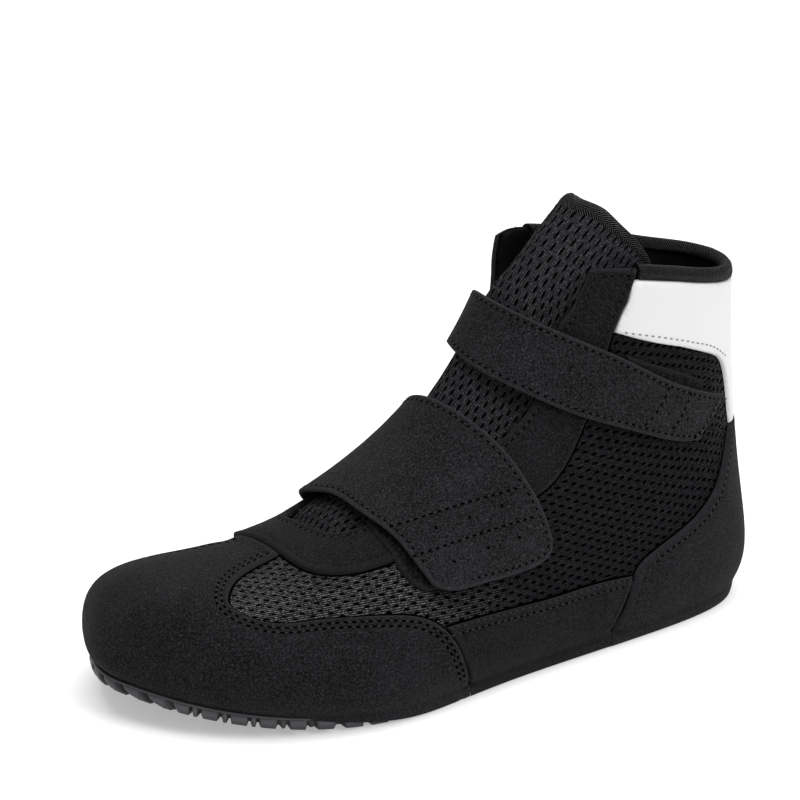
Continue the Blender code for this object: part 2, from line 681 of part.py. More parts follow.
def make_outsole():
    loop = plan_outline(GAP + COUNTER_SUEDE + RIM)
    _, total = along(loop, [0.0])
    count = int(round(total / LUG_PITCH))
    pitch = total / count
    rim_at = []
    blocks = []
    for i in range(count):
        a = i * pitch + (pitch - LUG_LONG) / 2
        trio = [a, a + LUG_LONG / 2, a + LUG_LONG]
        x = along(loop, [trio[1]])[0][0, 0] / LENGTH
        if x > FOREFOOT_TREAD_FROM or x < HEEL_TREAD_TO:
            blocks.append(list(range(len(rim_at), len(rim_at) + 3)))
            rim_at += trio
        else:
            rim_at.append(trio[1])
    rim = along(loop, rim_at)[0]
    flat = [p for p in rim]
    polys = []
    for block in blocks:
        ends = inset(loop, rim[[block[2], block[0]]], LUG_REACH)
        first = len(flat)
        flat += [p for p in ends]
        polys.append(block + [first, first + 1])
    for forward in (True, False):
        k = np.arange(0, total, pitch * 1.4)
        ring = inset(loop, along(loop, k)[0], PAD_INSET)
        share = ring[:, 0] / LENGTH
        limit = FOREFOOT_TREAD_FROM + 0.03 if forward else HEEL_TREAD_TO - 0.03
        pick = share > limit if forward else share < limit
        ring = ring[pick]
        centre = ring.mean(axis=0)
        turn = np.arctan2(ring[:, 1] - centre[1], ring[:, 0] - centre[0])
        ring = ring[np.argsort(turn)]
        first = len(flat)
        flat += [p for p in ring]
        polys.append(list(range(first, len(flat))))
    flat = np.array(flat)
    n_rim = len(rim)
    tris = triangles(flat, [list(range(n_rim))] + polys)
    middles = np.array([flat[list(f)].mean(axis=0) for f in tris])
    keep = inside(rim, middles)
    low = np.zeros(len(tris), bool)
    for poly in polys:
        low |= inside(flat[poly], middles)
    n = len(flat)
    sheet = seat(flat[:, 0]) - SOLE_SHEET
    points = [np.c_[flat, sheet], np.c_[flat, sheet - LUG_DEPTH]]
    faces = []
    owners = {}
    for f, ok, lug in zip(tris, keep, low):
        if not ok:
            continue
        shift = n if lug else 0
        faces.append(tuple(i + shift for i in f[::-1]))
        for i in range(3):
            owners.setdefault(frozenset((f[i], f[(i + 1) % 3])), []).append(lug)
    for pair, lugs in owners.items():
        a, b = sorted(pair)
        if (len(lugs) == 1 and lugs[0]) or (len(lugs) == 2 and lugs[0] != lugs[1]):
            faces.append((a, b, b + n, a + n))
    extra = sheet_grid(rim, COARSE)
    top = np.vstack([rim, extra])
    top_tris = triangles(top, [list(range(n_rim))])
    middles = np.array([top[list(f)].mean(axis=0) for f in top_tris])
    top_tris = [f for f, ok in zip(top_tris, inside(rim, middles)) if ok]
    start = 2 * n
    points.append(np.c_[top, seat(top[:, 0])])
    faces += [tuple(i + start for i in f) for f in top_tris]
    for i in range(n_rim):
        j = (i + 1) % n_rim
        faces.append((i, j, start + j, start + i))
    points = np.vstack(points)
    used = sorted({i for f in faces for i in f})
    order = {v: i for i, v in enumerate(used)}
    faces = [tuple(order[i] for i in f) for f in faces]
    build("outsole", points[used], faces, BLACK_RUBBER, 0.7)


def make_insole():
    loop = plan_outline(-SHELL_WALL - 2 * GAP)
    _, total = along(loop, [0.0])
    rim = along(loop, np.linspace(0, total, int(total / FINE), endpoint=False))[0]
    flat = np.vstack([rim, sheet_grid(rim, COARSE)])
    tris = triangles(flat, [list(range(len(rim)))])
    middles = np.array([flat[list(f)].mean(axis=0) for f in tris])
    tris = [f for f, ok in zip(tris, inside(rim, middles)) if ok]
    n = len(flat)
    low = seat(flat[:, 0]) + GAP
    points = np.vstack([np.c_[flat, low + INSOLE_THICK], np.c_[flat, low]])
    faces = list(tris)
    faces += [(f[2] + n, f[1] + n, f[0] + n) for f in tris]
    for i in range(len(rim)):
        j = (i + 1) % len(rim)
        faces.append((i, j, j + n, i + n))
    build("insole", points, faces, BLACK_MESH, 0.95)


for old in list(bpy.data.objects):
    bpy.data.objects.remove(old, do_unlink=True)

make_outsole()
make_insole()
make_upper()
make_toe_cap()
make_apron()
make_rand("side_rand_outer", 1)
make_rand("side_rand_inner", -1)
make_counter()
make_heel_panel()
make_binding()
make_tongue()
make_pads()
make_straps()
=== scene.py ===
import math

import bpy
import numpy as np
from mathutils import Matrix, Vector, kdtree
from mathutils.geometry import delaunay_2d_cdt


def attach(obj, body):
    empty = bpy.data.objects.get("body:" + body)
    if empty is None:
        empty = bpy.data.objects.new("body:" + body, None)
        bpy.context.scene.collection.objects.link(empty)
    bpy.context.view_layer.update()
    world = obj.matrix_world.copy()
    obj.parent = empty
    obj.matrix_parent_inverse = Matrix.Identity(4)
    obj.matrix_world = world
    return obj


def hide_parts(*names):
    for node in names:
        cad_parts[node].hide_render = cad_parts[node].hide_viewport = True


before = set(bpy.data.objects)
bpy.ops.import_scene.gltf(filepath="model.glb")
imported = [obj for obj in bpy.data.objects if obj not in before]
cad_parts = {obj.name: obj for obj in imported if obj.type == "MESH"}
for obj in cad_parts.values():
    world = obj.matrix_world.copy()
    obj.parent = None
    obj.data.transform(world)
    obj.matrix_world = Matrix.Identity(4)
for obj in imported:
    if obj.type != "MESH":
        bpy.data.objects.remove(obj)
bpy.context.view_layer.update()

# The looks of one left high-top wrestling shoe: knitted mesh, black suede panels with their
# stitches, two straps, a white heel panel, a padded tongue, a bound collar and a rubber sole.
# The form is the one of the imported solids, in the row frame. Metres.

# Main sizes, as in the solids.
LENGTH = 0.276
BALL_WIDTH = 0.110
TOP = 0.175
HEEL_REST_X = 0.15
SOLE_SHEET = 0.0025
LUG_DEPTH = 0.0020
TOE_SPRING = 0.012
SPRING_FROM = 0.66
RIM = 0.0007
LUG_PITCH = 0.0105
LUG_REACH = 0.013
FOREFOOT_TREAD_FROM = 0.46
HEEL_TREAD_TO = 0.27
GAP = 0.0003
SHELL_WALL = 0.0020
SUEDE = 0.0013
COUNTER_SUEDE = 0.0015
PANEL_SEEN = 0.0013
PANEL_GAP = 0.0002
STRAP_THICK = 0.0017
STRAP_ON_SIDE = 0.0023
STRAP_ON_FRONT = 0.0052
PAD_THICK = 0.0012
TONGUE_THICK = 0.0042
TONGUE_BULGE = 0.0058
TONGUE_FRONT = 0.0038
TONGUE_LEAN_SEEN = 0.0345
TONGUE_ASIDE = 0.0040
FLARE = (0.0030, -0.0030, 0.0012)
LEAN_FROM = 0.128
BINDING_THICK = 0.0012
SEAM = 0.0008
STATION = LENGTH / 14
HALF_GIRTH = BALL_WIDTH * 1.1
ORIGIN_X = HEEL_REST_X * LENGTH

# The rim of the sole. SOLE_LIP runs down from its upper edge: how far in and how far down each
# row is, and how much paler it is.
SOLE_OUT_TOE = GAP + COUNTER_SUEDE + RIM
SOLE_OUT_SIDE = 0.0012
RIM_STEP = 0.0006
SCOOP_LEAN = 0.52
SCOOP_DEEP = 0.0019
SOLE_BELLY = 0.0006
TREAD_RIB = 0.006
SOLE_LIP = ((0.0035, 0.0, 0.0), (0.0008, 0.0, 0.1), (0.0002, 0.0001, 0.35),
            (0.0, 0.0003, 0.30), (0.0001, 0.0006, 0.2), (0.0003, 0.0008, -0.1))

# Under the sole: how far in from the rim its rows are, and how far in the lugs reach where the
# sole is narrow.
UNDER_ROWS = np.r_[0.0012, np.arange(0.002, 0.0151, 0.001)]
WAIST_REACH = 0.005

# Sizes of the finish.
EDGE_STEP = 0.0015
CLOTH_STEP = 0.0024
SUEDE_STEP = 0.0020
STRAP_STEP = 0.0018
RELAX_TURNS = 1400
STITCH_PITCH = 0.0031
STITCH_LONG = 0.0017
STITCH_WIDE = 0.00033
PIT_WIDE = 0.00034
PIT_LONG = 0.00070
PIT_LIFT = 0.00020
# The next two place the painted shadow lines beside panel edges: how far off the cloth they lie and
# how wide they are.
SHADOW_LINE_LIFT = 0.0001
SHADOW_LINE_WIDE = 0.0009
GROOVE_DEEP = 0.00025
GROOVE_WIDE = 0.0007
KNIT_ACROSS = 0.0068
KNIT_ALONG = 0.00358
TAPE_RIB = 0.0010
TAPE_HIGH = 0.0042
TAPE_HIGH_INSIDE = 0.0030
PALE_EDGE = 0.0009
BEAD_IN = 0.0013
BEAD_WIDE = 0.0008
TONGUE_TAPE_HIGH = 0.0021
TONGUE_TAPE_LOWER = 0.0014
TONGUE_TAPE_OUT = 0.0004

# The padding inside the collar: how thick it is, how far below the collar it starts, is full,
# starts to fade and is gone, and the metres per station there.
LINING_PAD = 0.0022
LINING_PAD_DOWN = (0.004, 0.012, 0.018, 0.038)
LINING_PACE = 0.011

# A point moved in from a line is left out where it comes nearer to it than this share of the
# move. Points inside a panel keep this share of its step from each other.
NEAR_LINE = 0.93
NEAR_POINT = 0.86

# How far in from its edge each stitch row runs.
CAP_ROWS = (0.0024, 0.0044)
APRON_ROW = 0.0018
EYESTAY_ROW = 0.0026
RAND_ROWS = (0.0008, 0.0032)
RAND_GROOVE = 0.0030
COUNTER_ROW = 0.0034
HEEL_PANEL_ROW = 0.0026
HEEL_PANEL_PITCH = 0.0028
ANKLE_ROW = 0.0021
INSTEP_ROW = 0.0024

# How large the needle pits of some rows and the pin dots are, against the usual pit.
CAP_PIT = 1.35
COUNTER_PIT = 1.25
HOOK_PIT = 1.25
ANKLE_DOT = 0.9
INSTEP_DOT = 1.25

# The lower edge of the suede: round the toe it stands on the sole, and from SKIRT_FROM on (as a
# way along the seat) it comes down over the sole's side.
SKIRT_FROM = 1.02
SKIRT_WAYS = 0.46
SKIRT_DROP = 0.0043
SKIRT_TUCK = 0.0008
# The skirt is made paler than the suede: painted light that lifts the shade where it turns under
# toward the sole.
SKIRT_PAINTED_LIGHT = 0.35
SKIRT_ROWS = 4
SEAT_CLEAR = 0.0012
LOW_SWELL = 0.0015
LOW_SWELL_HIGH = 0.009

# The last as a row of closed loops, from the tip of the toe to above the ankle. Each loop has a
# point on the ridge along the top and one on the base, as shares of LENGTH (x) and TOP (z).
# outer, inner and ridge_y are shares of BALL_WIDTH: how far the two sides reach and where the
# ridge lies. widest is how far down the loop is widest, and round_top and round_base are how
# full it is above and below that.
WIDEST_AT = 0.55
LOOP_COLUMNS = ("ridge_x", "ridge_z", "base_x", "base_z", "outer", "inner", "ridge_y",
                "widest", "round_top", "round_base")
LOOPS = (
    (1.012, 0.142, 1.012, 0.142, -0.105, -0.095, -0.100, 0.61, 0.61, 0.61),
    (0.992, 0.218, 0.991, 0.094, 0.045, -0.285, -0.100, 0.62, 0.61, 0.65),
    (0.959, 0.260, 0.954, 0.060, 0.192, -0.430, -0.100, 0.63, 0.61, 0.70),
    (0.912, 0.276, 0.903, 0.037, 0.316, -0.500, -0.100, 0.65, 0.60, 0.75),
    (0.850, 0.280, 0.844, 0.021, 0.410, -0.508, -0.095, 0.67, 0.59, 0.78),
    (0.777, 0.289, 0.774, 0.008, 0.475, -0.494, -0.090, 0.70, 0.59, 0.80),
    (0.702, 0.314, 0.698, 0.000, 0.505, -0.470, -0.080, 0.72, 0.59, 0.82),
    (0.630, 0.363, 0.614, 0.000, 0.495, -0.438, -0.070, 0.73, 0.58, 0.83),
    (0.564, 0.430, 0.504, 0.000, 0.467, -0.400, -0.060, 0.74, 0.56, 0.83),
    (0.508, 0.507, 0.376, -0.005, 0.445, -0.370, -0.050, 0.74, 0.54, 0.84),
    (0.465, 0.587, 0.236, -0.010, 0.430, -0.352, -0.040, 0.72, 0.54, 0.85),
    (0.433, 0.661, 0.106, -0.006, 0.412, -0.341, -0.030, 0.68, 0.55, 0.83),
    (0.409, 0.724, 0.030, 0.037, 0.385, -0.336, -0.020, 0.62, 0.56, 0.75),
    (0.391, 0.780, 0.008, 0.137, 0.354, -0.331, -0.010, 0.56, 0.565, 0.63),
    (0.378, 0.836, 0.014, 0.280, 0.332, -0.325, 0.000, 0.52, 0.57, 0.57),
    (0.368, 0.889, 0.025, 0.459, 0.321, -0.318, 0.000, 0.505, 0.575, 0.56),
    (0.362, 0.942, 0.033, 0.685, 0.315, -0.313, 0.000, 0.50, 0.58, 0.56),
    (0.359, 1.000, 0.038, 1.000, 0.310, -0.310, 0.000, 0.50, 0.58, 0.57),
)
LAST = len(LOOPS) - 1

# The seat line, where the face meets the sole: the stations that its side runs between, and how
# far it swings round the toe and the heel (in stations) and down the side (in girth).
SEAT_STATIONS = (3, 11)
TOE_SWING = 2.95
HEEL_SWING = 1.9
SIDE_SWING = 0.42
HALVINGS = 34

# Panel edges on the outer side, as (station, girth): a station is a row of the table above and
# girth runs from 0 on the ridge to 1 under the sole. The inner side mirrors them.
THROAT = ((6.02, -0.04), (6.15, 0.06), (6.65, 0.10), (7.60, 0.135), (8.60, 0.17), (9.50, 0.195),
          (10.90, 0.200), (12.55, 0.190), (13.30, 0.215), (14.20, 0.245), (14.95, 0.265))
COLLAR = ((14.95, 0.265), (15.35, 0.34), (15.63, 0.41), (15.88, 0.51), (16.05, 0.625),
          (16.17, 0.775), (16.24, 0.90), (16.26, 1.0))
BINDING_FROM = 0.415
CAP_TOP = ((5.17, -0.04), (5.17, 0.05))
CAP_WINDOW = ((5.17, 0.05), (4.30, 0.08), (3.72, 0.145), (3.55, 0.20), (3.90, 0.27),
              (4.75, 0.292), (5.45, 0.312), (6.15, 0.35), (6.65, 0.40), (6.93, 0.455),
              (7.12, 0.53), (7.22, 0.61), (7.28, 0.70))
APRON_FRONT = ((5.20, -0.04), (5.20, 0.05), (5.32, 0.135), (5.72, 0.180), (6.45, 0.215),
               (7.50, 0.260), (8.50, 0.295), (9.55, 0.325), (10.95, 0.305), (12.20, 0.312),
               (13.20, 0.325), (14.40, 0.365), (15.58, 0.41))
RAND_FRONT = ((6.95, 0.445), (7.14, 0.53), (7.25, 0.61), (7.31, 0.70))
RAND_TOP = ((6.95, 0.445), (7.90, 0.480), (8.90, 0.510), (9.50, 0.525), (10.00, 0.545))
RAND_BACK = ((9.41, 0.70), (9.47, 0.675), (9.78, 0.585), (10.00, 0.545))
COUNTER_FRONT = ((9.48, 0.70), (9.54, 0.675), (9.84, 0.585), (10.05, 0.545), (10.50, 0.530),
                 (11.20, 0.540), (11.95, 0.570), (12.80, 0.625), (13.60, 0.690), (14.18, 0.745))
COUNTER_TOP = ((14.18, 0.745), (14.46, 0.82), (14.68, 0.90), (14.76, 1.0))
HEEL_PANEL_LOW = ((13.66, 0.350), (14.40, 0.480), (14.78, 0.570), (15.02, 0.655), (15.05, 0.712),
                  (14.80, 0.742), (14.45, 0.752))
TONGUE_SIDE = ((5.35, -0.04), (5.40, 0.03), (5.75, 0.10), (6.65, 0.19), (8.00, 0.25),
               (9.50, 0.285), (11.00, 0.300), (12.50, 0.330), (14.00, 0.385), (15.30, 0.46))
TONGUE_TOP = ((15.30, 0.46), (15.68, 0.460), (15.84, 0.40), (15.88, 0.30), (15.92, 0.20),
              (15.98, 0.10), (16.02, 0.0))
CAP_SEAT_END = 7.332
RAND_SEAT = (7.324, 9.468)
COUNTER_SEAT_START = 9.46
EYESTAY_COLLAR_END = 0.405
PANEL_COLLAR_START = 0.414
MIDLINE = 0.04
MIDLINE_UNTIL = (7.0, 10.5)
ANKLE_HIGH = ((12.90, -0.50), (12.85, -0.36), (12.62, -0.20), (12.45, -0.10), (12.25, 0.04),
              (12.55, 0.19), (13.25, 0.355), (13.72, 0.485), (14.20, 0.60), (14.52, 0.685))
ANKLE_LOW = ((11.95, -0.50), (11.35, -0.36), (10.85, -0.20), (10.68, -0.10), (10.35, 0.075),
             (10.60, 0.19), (11.00, 0.275), (11.68, 0.37), (12.55, 0.490), (13.05, 0.553))
INSTEP_HIGH = ((9.35, -0.47), (9.30, -0.35), (9.22, -0.20), (9.22, -0.085), (9.33, 0.06),
               (9.37, 0.135), (9.40, 0.195), (9.36, 0.28), (9.27, 0.35), (9.15, 0.40))
INSTEP_END = ((9.15, 0.40), (9.02, 0.420), (8.80, 0.427), (8.20, 0.415), (7.60, 0.392),
              (7.10, 0.362), (6.93, 0.335))
INSTEP_LOW = ((7.60, -0.47), (7.20, -0.35), (6.72, -0.20), (6.60, -0.09), (6.72, 0.01),
              (6.72, 0.095), (6.82, 0.185), (6.86, 0.265), (6.93, 0.335))
ANKLE_SEAMS = (((13.75, 0.490), (12.15, 0.405)), ((14.05, 0.560), (12.70, 0.475)),
               ((14.32, 0.648), (12.98, 0.536)))
ANKLE_DOTS = ((13.50, 0.500), (12.90, 0.465), (13.90, 0.570), (13.20, 0.520))
INSTEP_SEAMS = (((9.22, 0.290), (6.90, 0.170)), ((9.15, 0.350), (6.90, 0.255)))
INSTEP_DOTS = ((7.50, 0.235), (8.10, 0.265), (8.70, 0.290), (7.45, 0.320), (8.10, 0.340),
               (8.65, 0.360))
ANKLE_PAD = ((12.30, 0.370), (13.45, 0.375), (13.62, 0.412), (13.82, 0.455), (14.07, 0.510),
             (14.30, 0.565), (14.42, 0.605), (14.15, 0.620), (13.40, 0.580), (12.60, 0.480))
INSTEP_PAD = ((6.72, 0.10), (6.65, 0.145), (6.63, 0.205), (6.60, 0.255), (6.66, 0.300),
              (6.82, 0.335), (7.60, 0.375), (8.60, 0.405), (9.05, 0.395), (9.05, 0.335),
              (8.50, 0.312), (7.60, 0.278), (7.25, 0.20), (7.25, 0.10))


def spline(knots, values):
    """A smooth curve through the values, with no bend at its two ends."""
    k = np.asarray(knots, float)
    y = np.asarray(values, float)
    n = len(k)
    h = np.diff(k)
    a = np.zeros((n, n))
    b = np.zeros(n)
    a[0, 0] = 1
    a[-1, -1] = 1
    for i in range(1, n - 1):
        a[i, i - 1] = h[i - 1]
        a[i, i] = 2 * (h[i - 1] + h[i])
        a[i, i + 1] = h[i]
        b[i] = 6 * ((y[i + 1] - y[i]) / h[i] - (y[i] - y[i - 1]) / h[i - 1])
    m = np.linalg.solve(a, b)

    def at(s):
        s = np.clip(np.asarray(s, float), k[0], k[-1])
        i = np.clip(np.searchsorted(k, s, side="right") - 1, 0, n - 2)
        p = (k[i + 1] - s) / h[i]
        q = (s - k[i]) / h[i]
        bend = ((p ** 3 - p) * m[i] + (q ** 3 - q) * m[i + 1]) * h[i] ** 2 / 6
        return p * y[i] + q * y[i + 1] + bend

    return at


def shares(name):
    """One column of the loop table."""
    return np.array([row[LOOP_COLUMNS.index(name)] for row in LOOPS])


def column(name, before, size):
    """A column of the loop table as a curve that carries on through the tip of the toe."""
    return spline(BOTH, np.r_[shares(before)[::-1] * size, shares(name)[1:] * size])


KNOTS = np.arange(LAST + 1)
BOTH = np.r_[-KNOTS[::-1], KNOTS[1:]]
RIDGE_X = column("ridge_x", "base_x", LENGTH)
RIDGE_Z = column("ridge_z", "base_z", TOP)
RIDGE_Y = column("ridge_y", "ridge_y", BALL_WIDTH)
WIDEST = column("widest", "widest", 1)
ROUND_TOP = column("round_top", "round_top", 1)
ROUND_BASE = column("round_base", "round_base", 1)
OUTER = shares("outer") * BALL_WIDTH
INNER = shares("inner") * BALL_WIDTH
HALF = spline(BOTH, np.r_[(-(OUTER - INNER) / 2)[::-1], ((OUTER - INNER) / 2)[1:]])
CENTRE = spline(BOTH, np.r_[((OUTER + INNER) / 2)[::-1], ((OUTER + INNER) / 2)[1:]])


def ease(x):
    """A smooth step from 0 to 1 as x goes from 0 to 1."""
    x = np.clip(x, 0, 1)
    return x * x * (3 - 2 * x)


def face_point(s, t):
    """A point of the last at station s and girth t, where 1 to 2 is the inner side again."""
    s = np.asarray(s, float)
    t = (np.asarray(t, float) + 1) % 2 - 1
    s, t = np.broadcast_arrays(s, t)
    side = np.where(t >= 0, 1.0, -1.0)
    a = np.abs(t)
    widest = WIDEST(s)
    top = ROUND_TOP(s)
    base = ROUND_BASE(s)
    reach = CENTRE(s) + side * HALF(s) - RIDGE_Y(s)
    up = a < WIDEST_AT
    v = np.where(up, a / WIDEST_AT, (a - WIDEST_AT) / (1 - WIDEST_AT))
    b0 = (1 - v) ** 3
    b1 = 3 * v * (1 - v) ** 2
    b2 = 3 * v * v * (1 - v)
    b3 = v ** 3
    down_up = b2 * widest * (1 - top) + b3 * widest
    out_up = b1 * top + b2 + b3
    down_low = b0 * widest + b1 * (widest + base * (1 - widest)) + b2 + b3
    out_low = b0 + b1 + b2 * base
    down = np.where(up, down_up, down_low)
    out = np.where(up, out_up, out_low)
    x = RIDGE_X(s) + (RIDGE_X(-s) - RIDGE_X(s)) * down - ORIGIN_X
    z = RIDGE_Z(s) + (RIDGE_Z(-s) - RIDGE_Z(s)) * down
    y = RIDGE_Y(s) + reach * out
    return np.stack([x, y, z], -1)


def slopes(s, t):
    """How the face runs per station and per girth."""
    ds = 0.02
    dt = 0.004
    s = np.clip(np.asarray(s, float), 0.05, LAST - ds)
    t = np.asarray(t, float)
    along = (face_point(s + ds, t) - face_point(s - ds, t)) / (2 * ds)
    round_it = (face_point(s, t + dt) - face_point(s, t - dt)) / (2 * dt)
    return along, round_it


def pace_of(s, t):
    """Metres per station at each point."""
    ds = 0.02
    return np.linalg.norm(face_point(s + ds, t) - face_point(s - ds, t), axis=1) / (2 * ds)


def outward(s, t):
    """The direction that stands out of the face."""
    along, round_it = slopes(s, t)
    n = np.cross(round_it, along)
    return n / np.maximum(np.linalg.norm(n, axis=-1, keepdims=True), 1e-12)


def place(s, t, off):
    """A point at a distance off from the face of the last."""
    s, t, off = np.broadcast_arrays(np.asarray(s, float), np.asarray(t, float), off)
    return face_point(s, t) + outward(s, t) * off[..., None]


def seat(x):
    """Height of the top of the sole, which springs up toward the toe."""
    share = np.clip(((x + ORIGIN_X) / LENGTH - SPRING_FROM) / (1 - SPRING_FROM), 0, None)
    return SOLE_SHEET + LUG_DEPTH + TOE_SPRING * share ** 2


def seat_cut(way, side, off, lift):
    """Where the face at a distance off meets the sole. way is 0 at the toe and 3 at the heel:
    up to 1 it turns round the toe, up to 2 it goes back along the side, and then round the heel."""
    way, side, off = np.broadcast_arrays(np.asarray(way, float), side, off)
    front, back = SEAT_STATIONS
    from_s = np.clip(front + (way - 1) * (back - front), front, back)
    toe = np.clip(1 - way, 0, 1) * np.pi / 2
    heel = np.clip(way - 2, 0, 1) * np.pi / 2
    to_s = HEEL_SWING * np.sin(heel) - TOE_SWING * np.sin(toe)
    to_t = SIDE_SWING * np.cos(toe) * np.cos(heel)
    low = np.zeros(way.shape)
    high = np.ones(way.shape)
    for _ in range(HALVINGS):
        r = (low + high) / 2
        s = from_s + r * to_s
        t = side * (1 - r * to_t)
        p = place(s, t, off)
        above = p[..., 2] > seat(p[..., 0]) + lift
        high = np.where(above, r, high)
        low = np.where(above, low, r)
    return s, t


WAYS = np.linspace(0, 3, 721)
SEAT_S = {}
SEAT_T = {}
SEAT_LONG = {}
for hand in (1, -1):
    SEAT_S[hand], SEAT_T[hand] = seat_cut(WAYS, hand, 0.0, GAP)
    walk = np.diff(face_point(SEAT_S[hand], SEAT_T[hand]), axis=0)
    SEAT_LONG[hand] = np.r_[0, np.cumsum(np.linalg.norm(walk, axis=1))]


def seat_line(side, first, last, step):
    """Points along the seat from station first to last, both ends included."""
    a = np.interp(first, SEAT_S[side], WAYS)
    b = np.interp(last, SEAT_S[side], WAYS)
    da = np.interp(a, WAYS, SEAT_LONG[side])
    db = np.interp(b, WAYS, SEAT_LONG[side])
    n = max(1, int(round(abs(db - da) / step)))
    way = np.interp(np.linspace(da, db, n + 1), SEAT_LONG[side], WAYS)
    s, t = seat_cut(way, side, 0.0, GAP)
    return [(s[i], t[i], way[i], side) for i in range(n + 1)]


def line(points, step=EDGE_STEP):
    """Points along a smooth edge through the given ones, both ends included."""
    p = np.array(points, float)
    flat = p * [STATION, HALF_GIRTH]
    d = np.r_[0, np.cumsum(np.linalg.norm(np.diff(flat, axis=0), axis=1))]
    n = max(len(p) - 1, int(round(d[-1] / step)))
    k = np.linspace(0, d[-1], n + 1)
    s = spline(d, p[:, 0])(k)
    t = spline(d, p[:, 1])(k)
    return [(s[i], t[i], None, 0) for i in range(n + 1)]


def mirrored(edge):
    """The same edge on the inner side."""
    low, high = MIDLINE_UNTIL
    out = []
    for s, t, way, side in edge:
        if way is not None:
            s2 = np.interp(way, WAYS, SEAT_S[-side])
            out.append((s2, np.interp(way, WAYS, SEAT_T[-side]), way, -side))
        elif t > 0.9999:
            out.append((s, -t, None, 0))
        else:
            shift = 2 * MIDLINE * (1 - ease((s - low) / (high - low)))
            shift = shift * (1 - ease((t - 0.30) / 0.3))
            out.append((s, -t - shift, None, 0))
    return out


def join(*edges):
    """One closed edge from several, each starting where the last one ended."""
    out = []
    for edge in edges:
        for e in edge:
            if out and abs(e[0] - out[-1][0]) < 1e-4 and abs(e[1] - out[-1][1]) < 1e-4:
                if e[2] is not None:
                    out[-1] = e
                continue
            out.append(e)
    if abs(out[0][0] - out[-1][0]) < 1e-4 and abs(out[0][1] - out[-1][1]) < 1e-4:
        out.pop()
    return out


def inside(poly, points):
    """Which points lie inside a closed polygon."""
    x = points[:, 0]
    y = points[:, 1]
    result = np.zeros(len(points), bool)
    for i in range(len(poly)):
        x0, y0 = poly[i - 1]
        x1, y1 = poly[i]
        if y0 == y1:
            continue
        crosses = (y0 > y) != (y1 > y)
        result ^= crosses & (x < (x1 - x0) * (y - y0) / (y1 - y0) + x0)
    return result


def triangles(flat, count):
    """Triangles on flat points, inside the closed edge that the first count of them make."""
    edges = [((i - 1) % count, i) for i in range(count)]
    found = delaunay_2d_cdt([Vector(p) for p in flat], edges, [], 0, 1e-7)
    origin = [o[0] for o in found[3]]
    tris = [tuple(origin[i] for i in face) for face in found[2]]
    middles = np.array([flat[list(f)].mean(axis=0) for f in tris])
    return [f for f, ok in zip(tris, inside(flat[:count], middles)) if ok]


def pairs(edge):
    """The (s, t) points of an edge."""
    return np.array([(e[0], e[1]) for e in edge])


def unwrapped(edge):
    """The same edge with the inner side counted on from 1 to 2, for panels round the heel."""
    return [(e[0], e[1] + 2 if e[1] < 0 else e[1], e[2], e[3]) for e in edge]


def tree_of(points):
    """The points as a tree that finds the nearest one."""
    tree = kdtree.KDTree(len(points))
    for i, p in enumerate(points):
        tree.insert(Vector(p), i)
    tree.balance()
    return tree


def distances(points, tree):
    """How far each point is from the nearest one of a tree."""
    return np.array([tree.find(Vector(p))[2] for p in points])


def denser(points, times):
    """A line of points with more points between each two."""
    out = []
    for a, b in zip(points[:-1], points[1:]):
        out += [a + (b - a) * k / times for k in range(times)]
    out.append(points[-1])
    return np.array(out)


def spread(points, step, held):
    """Picks points that keep a distance of step from each other and from those held."""
    cells = {}

    def key(p):
        return tuple(int(math.floor(c / step)) for c in p)

    for p in held:
        cells.setdefault(key(p), []).append(p)
    near = [(x, y, z) for x in (-1, 0, 1) for y in (-1, 0, 1) for z in (-1, 0, 1)]

    def taken(p, k):
        for x, y, z in near:
            for q in cells.get((k[0] + x, k[1] + y, k[2] + z), ()):
                if (p[0] - q[0]) ** 2 + (p[1] - q[1]) ** 2 + (p[2] - q[2]) ** 2 < step ** 2:
                    return True
        return False

    picked = []
    for i, p in enumerate(points):
        k = key(p)
        if not taken(p, k):
            cells.setdefault(k, []).append(p)
            picked.append(i)
    return picked


def shifted(path, far):
    """A line of (s, t) points moved along the face by a distance far, to the left of its way."""
    path = np.asarray(path, float)
    p = face_point(path[:, 0], path[:, 1])
    tangent = np.gradient(p, axis=0)
    n = outward(path[:, 0], path[:, 1])
    left = np.cross(n, tangent)
    left = left / np.maximum(np.linalg.norm(left, axis=1, keepdims=True), 1e-12)
    along, round_it = slopes(path[:, 0], path[:, 1])
    moved = []
    for i in range(len(path)):
        jac = np.stack([along[i], round_it[i]], 1)
        step = np.linalg.lstsq(jac, left[i] * far, rcond=None)[0]
        moved.append(path[i] + step)
    return np.array(moved)


def beside(path, far):
    """The same, without the points that come too near the line again at a corner."""
    path = np.asarray(path, float)
    moved = shifted(path, far)
    p = face_point(path[:, 0], path[:, 1])
    tree = tree_of(denser(p, 4))
    gone = distances(face_point(moved[:, 0], moved[:, 1]), tree)
    return moved[gone > abs(far) * NEAR_LINE]


# Soft creases and swells of the worn-in form: where one starts and ends as (s, t), how wide it is
# and how far it stands out of the face (or sinks in, below 0).
CREASE_COLUMNS = ("s0", "t0", "s1", "t1", "wide", "out")
CREASES = (
    (5.55, -0.16, 5.35, 0.06, 0.0045, 0.0010),
    (4.95, -0.20, 4.80, 0.02, 0.0040, -0.0007),
    (6.75, 0.300, 7.60, 0.420, 0.0060, -0.0008),
    (7.30, 0.460, 8.60, 0.500, 0.0050, -0.0006),
    (9.60, 0.360, 10.90, 0.470, 0.0070, -0.0007),
    (11.30, 0.420, 12.60, 0.640, 0.0080, -0.0006),
    (10.60, 0.560, 12.30, 0.600, 0.0060, 0.0005),
    (6.75, -0.360, 7.70, -0.450, 0.0060, -0.0008),
    (9.60, -0.360, 11.20, -0.500, 0.0070, -0.0008),
    (11.60, -0.420, 12.80, -0.640, 0.0080, -0.0007),
)


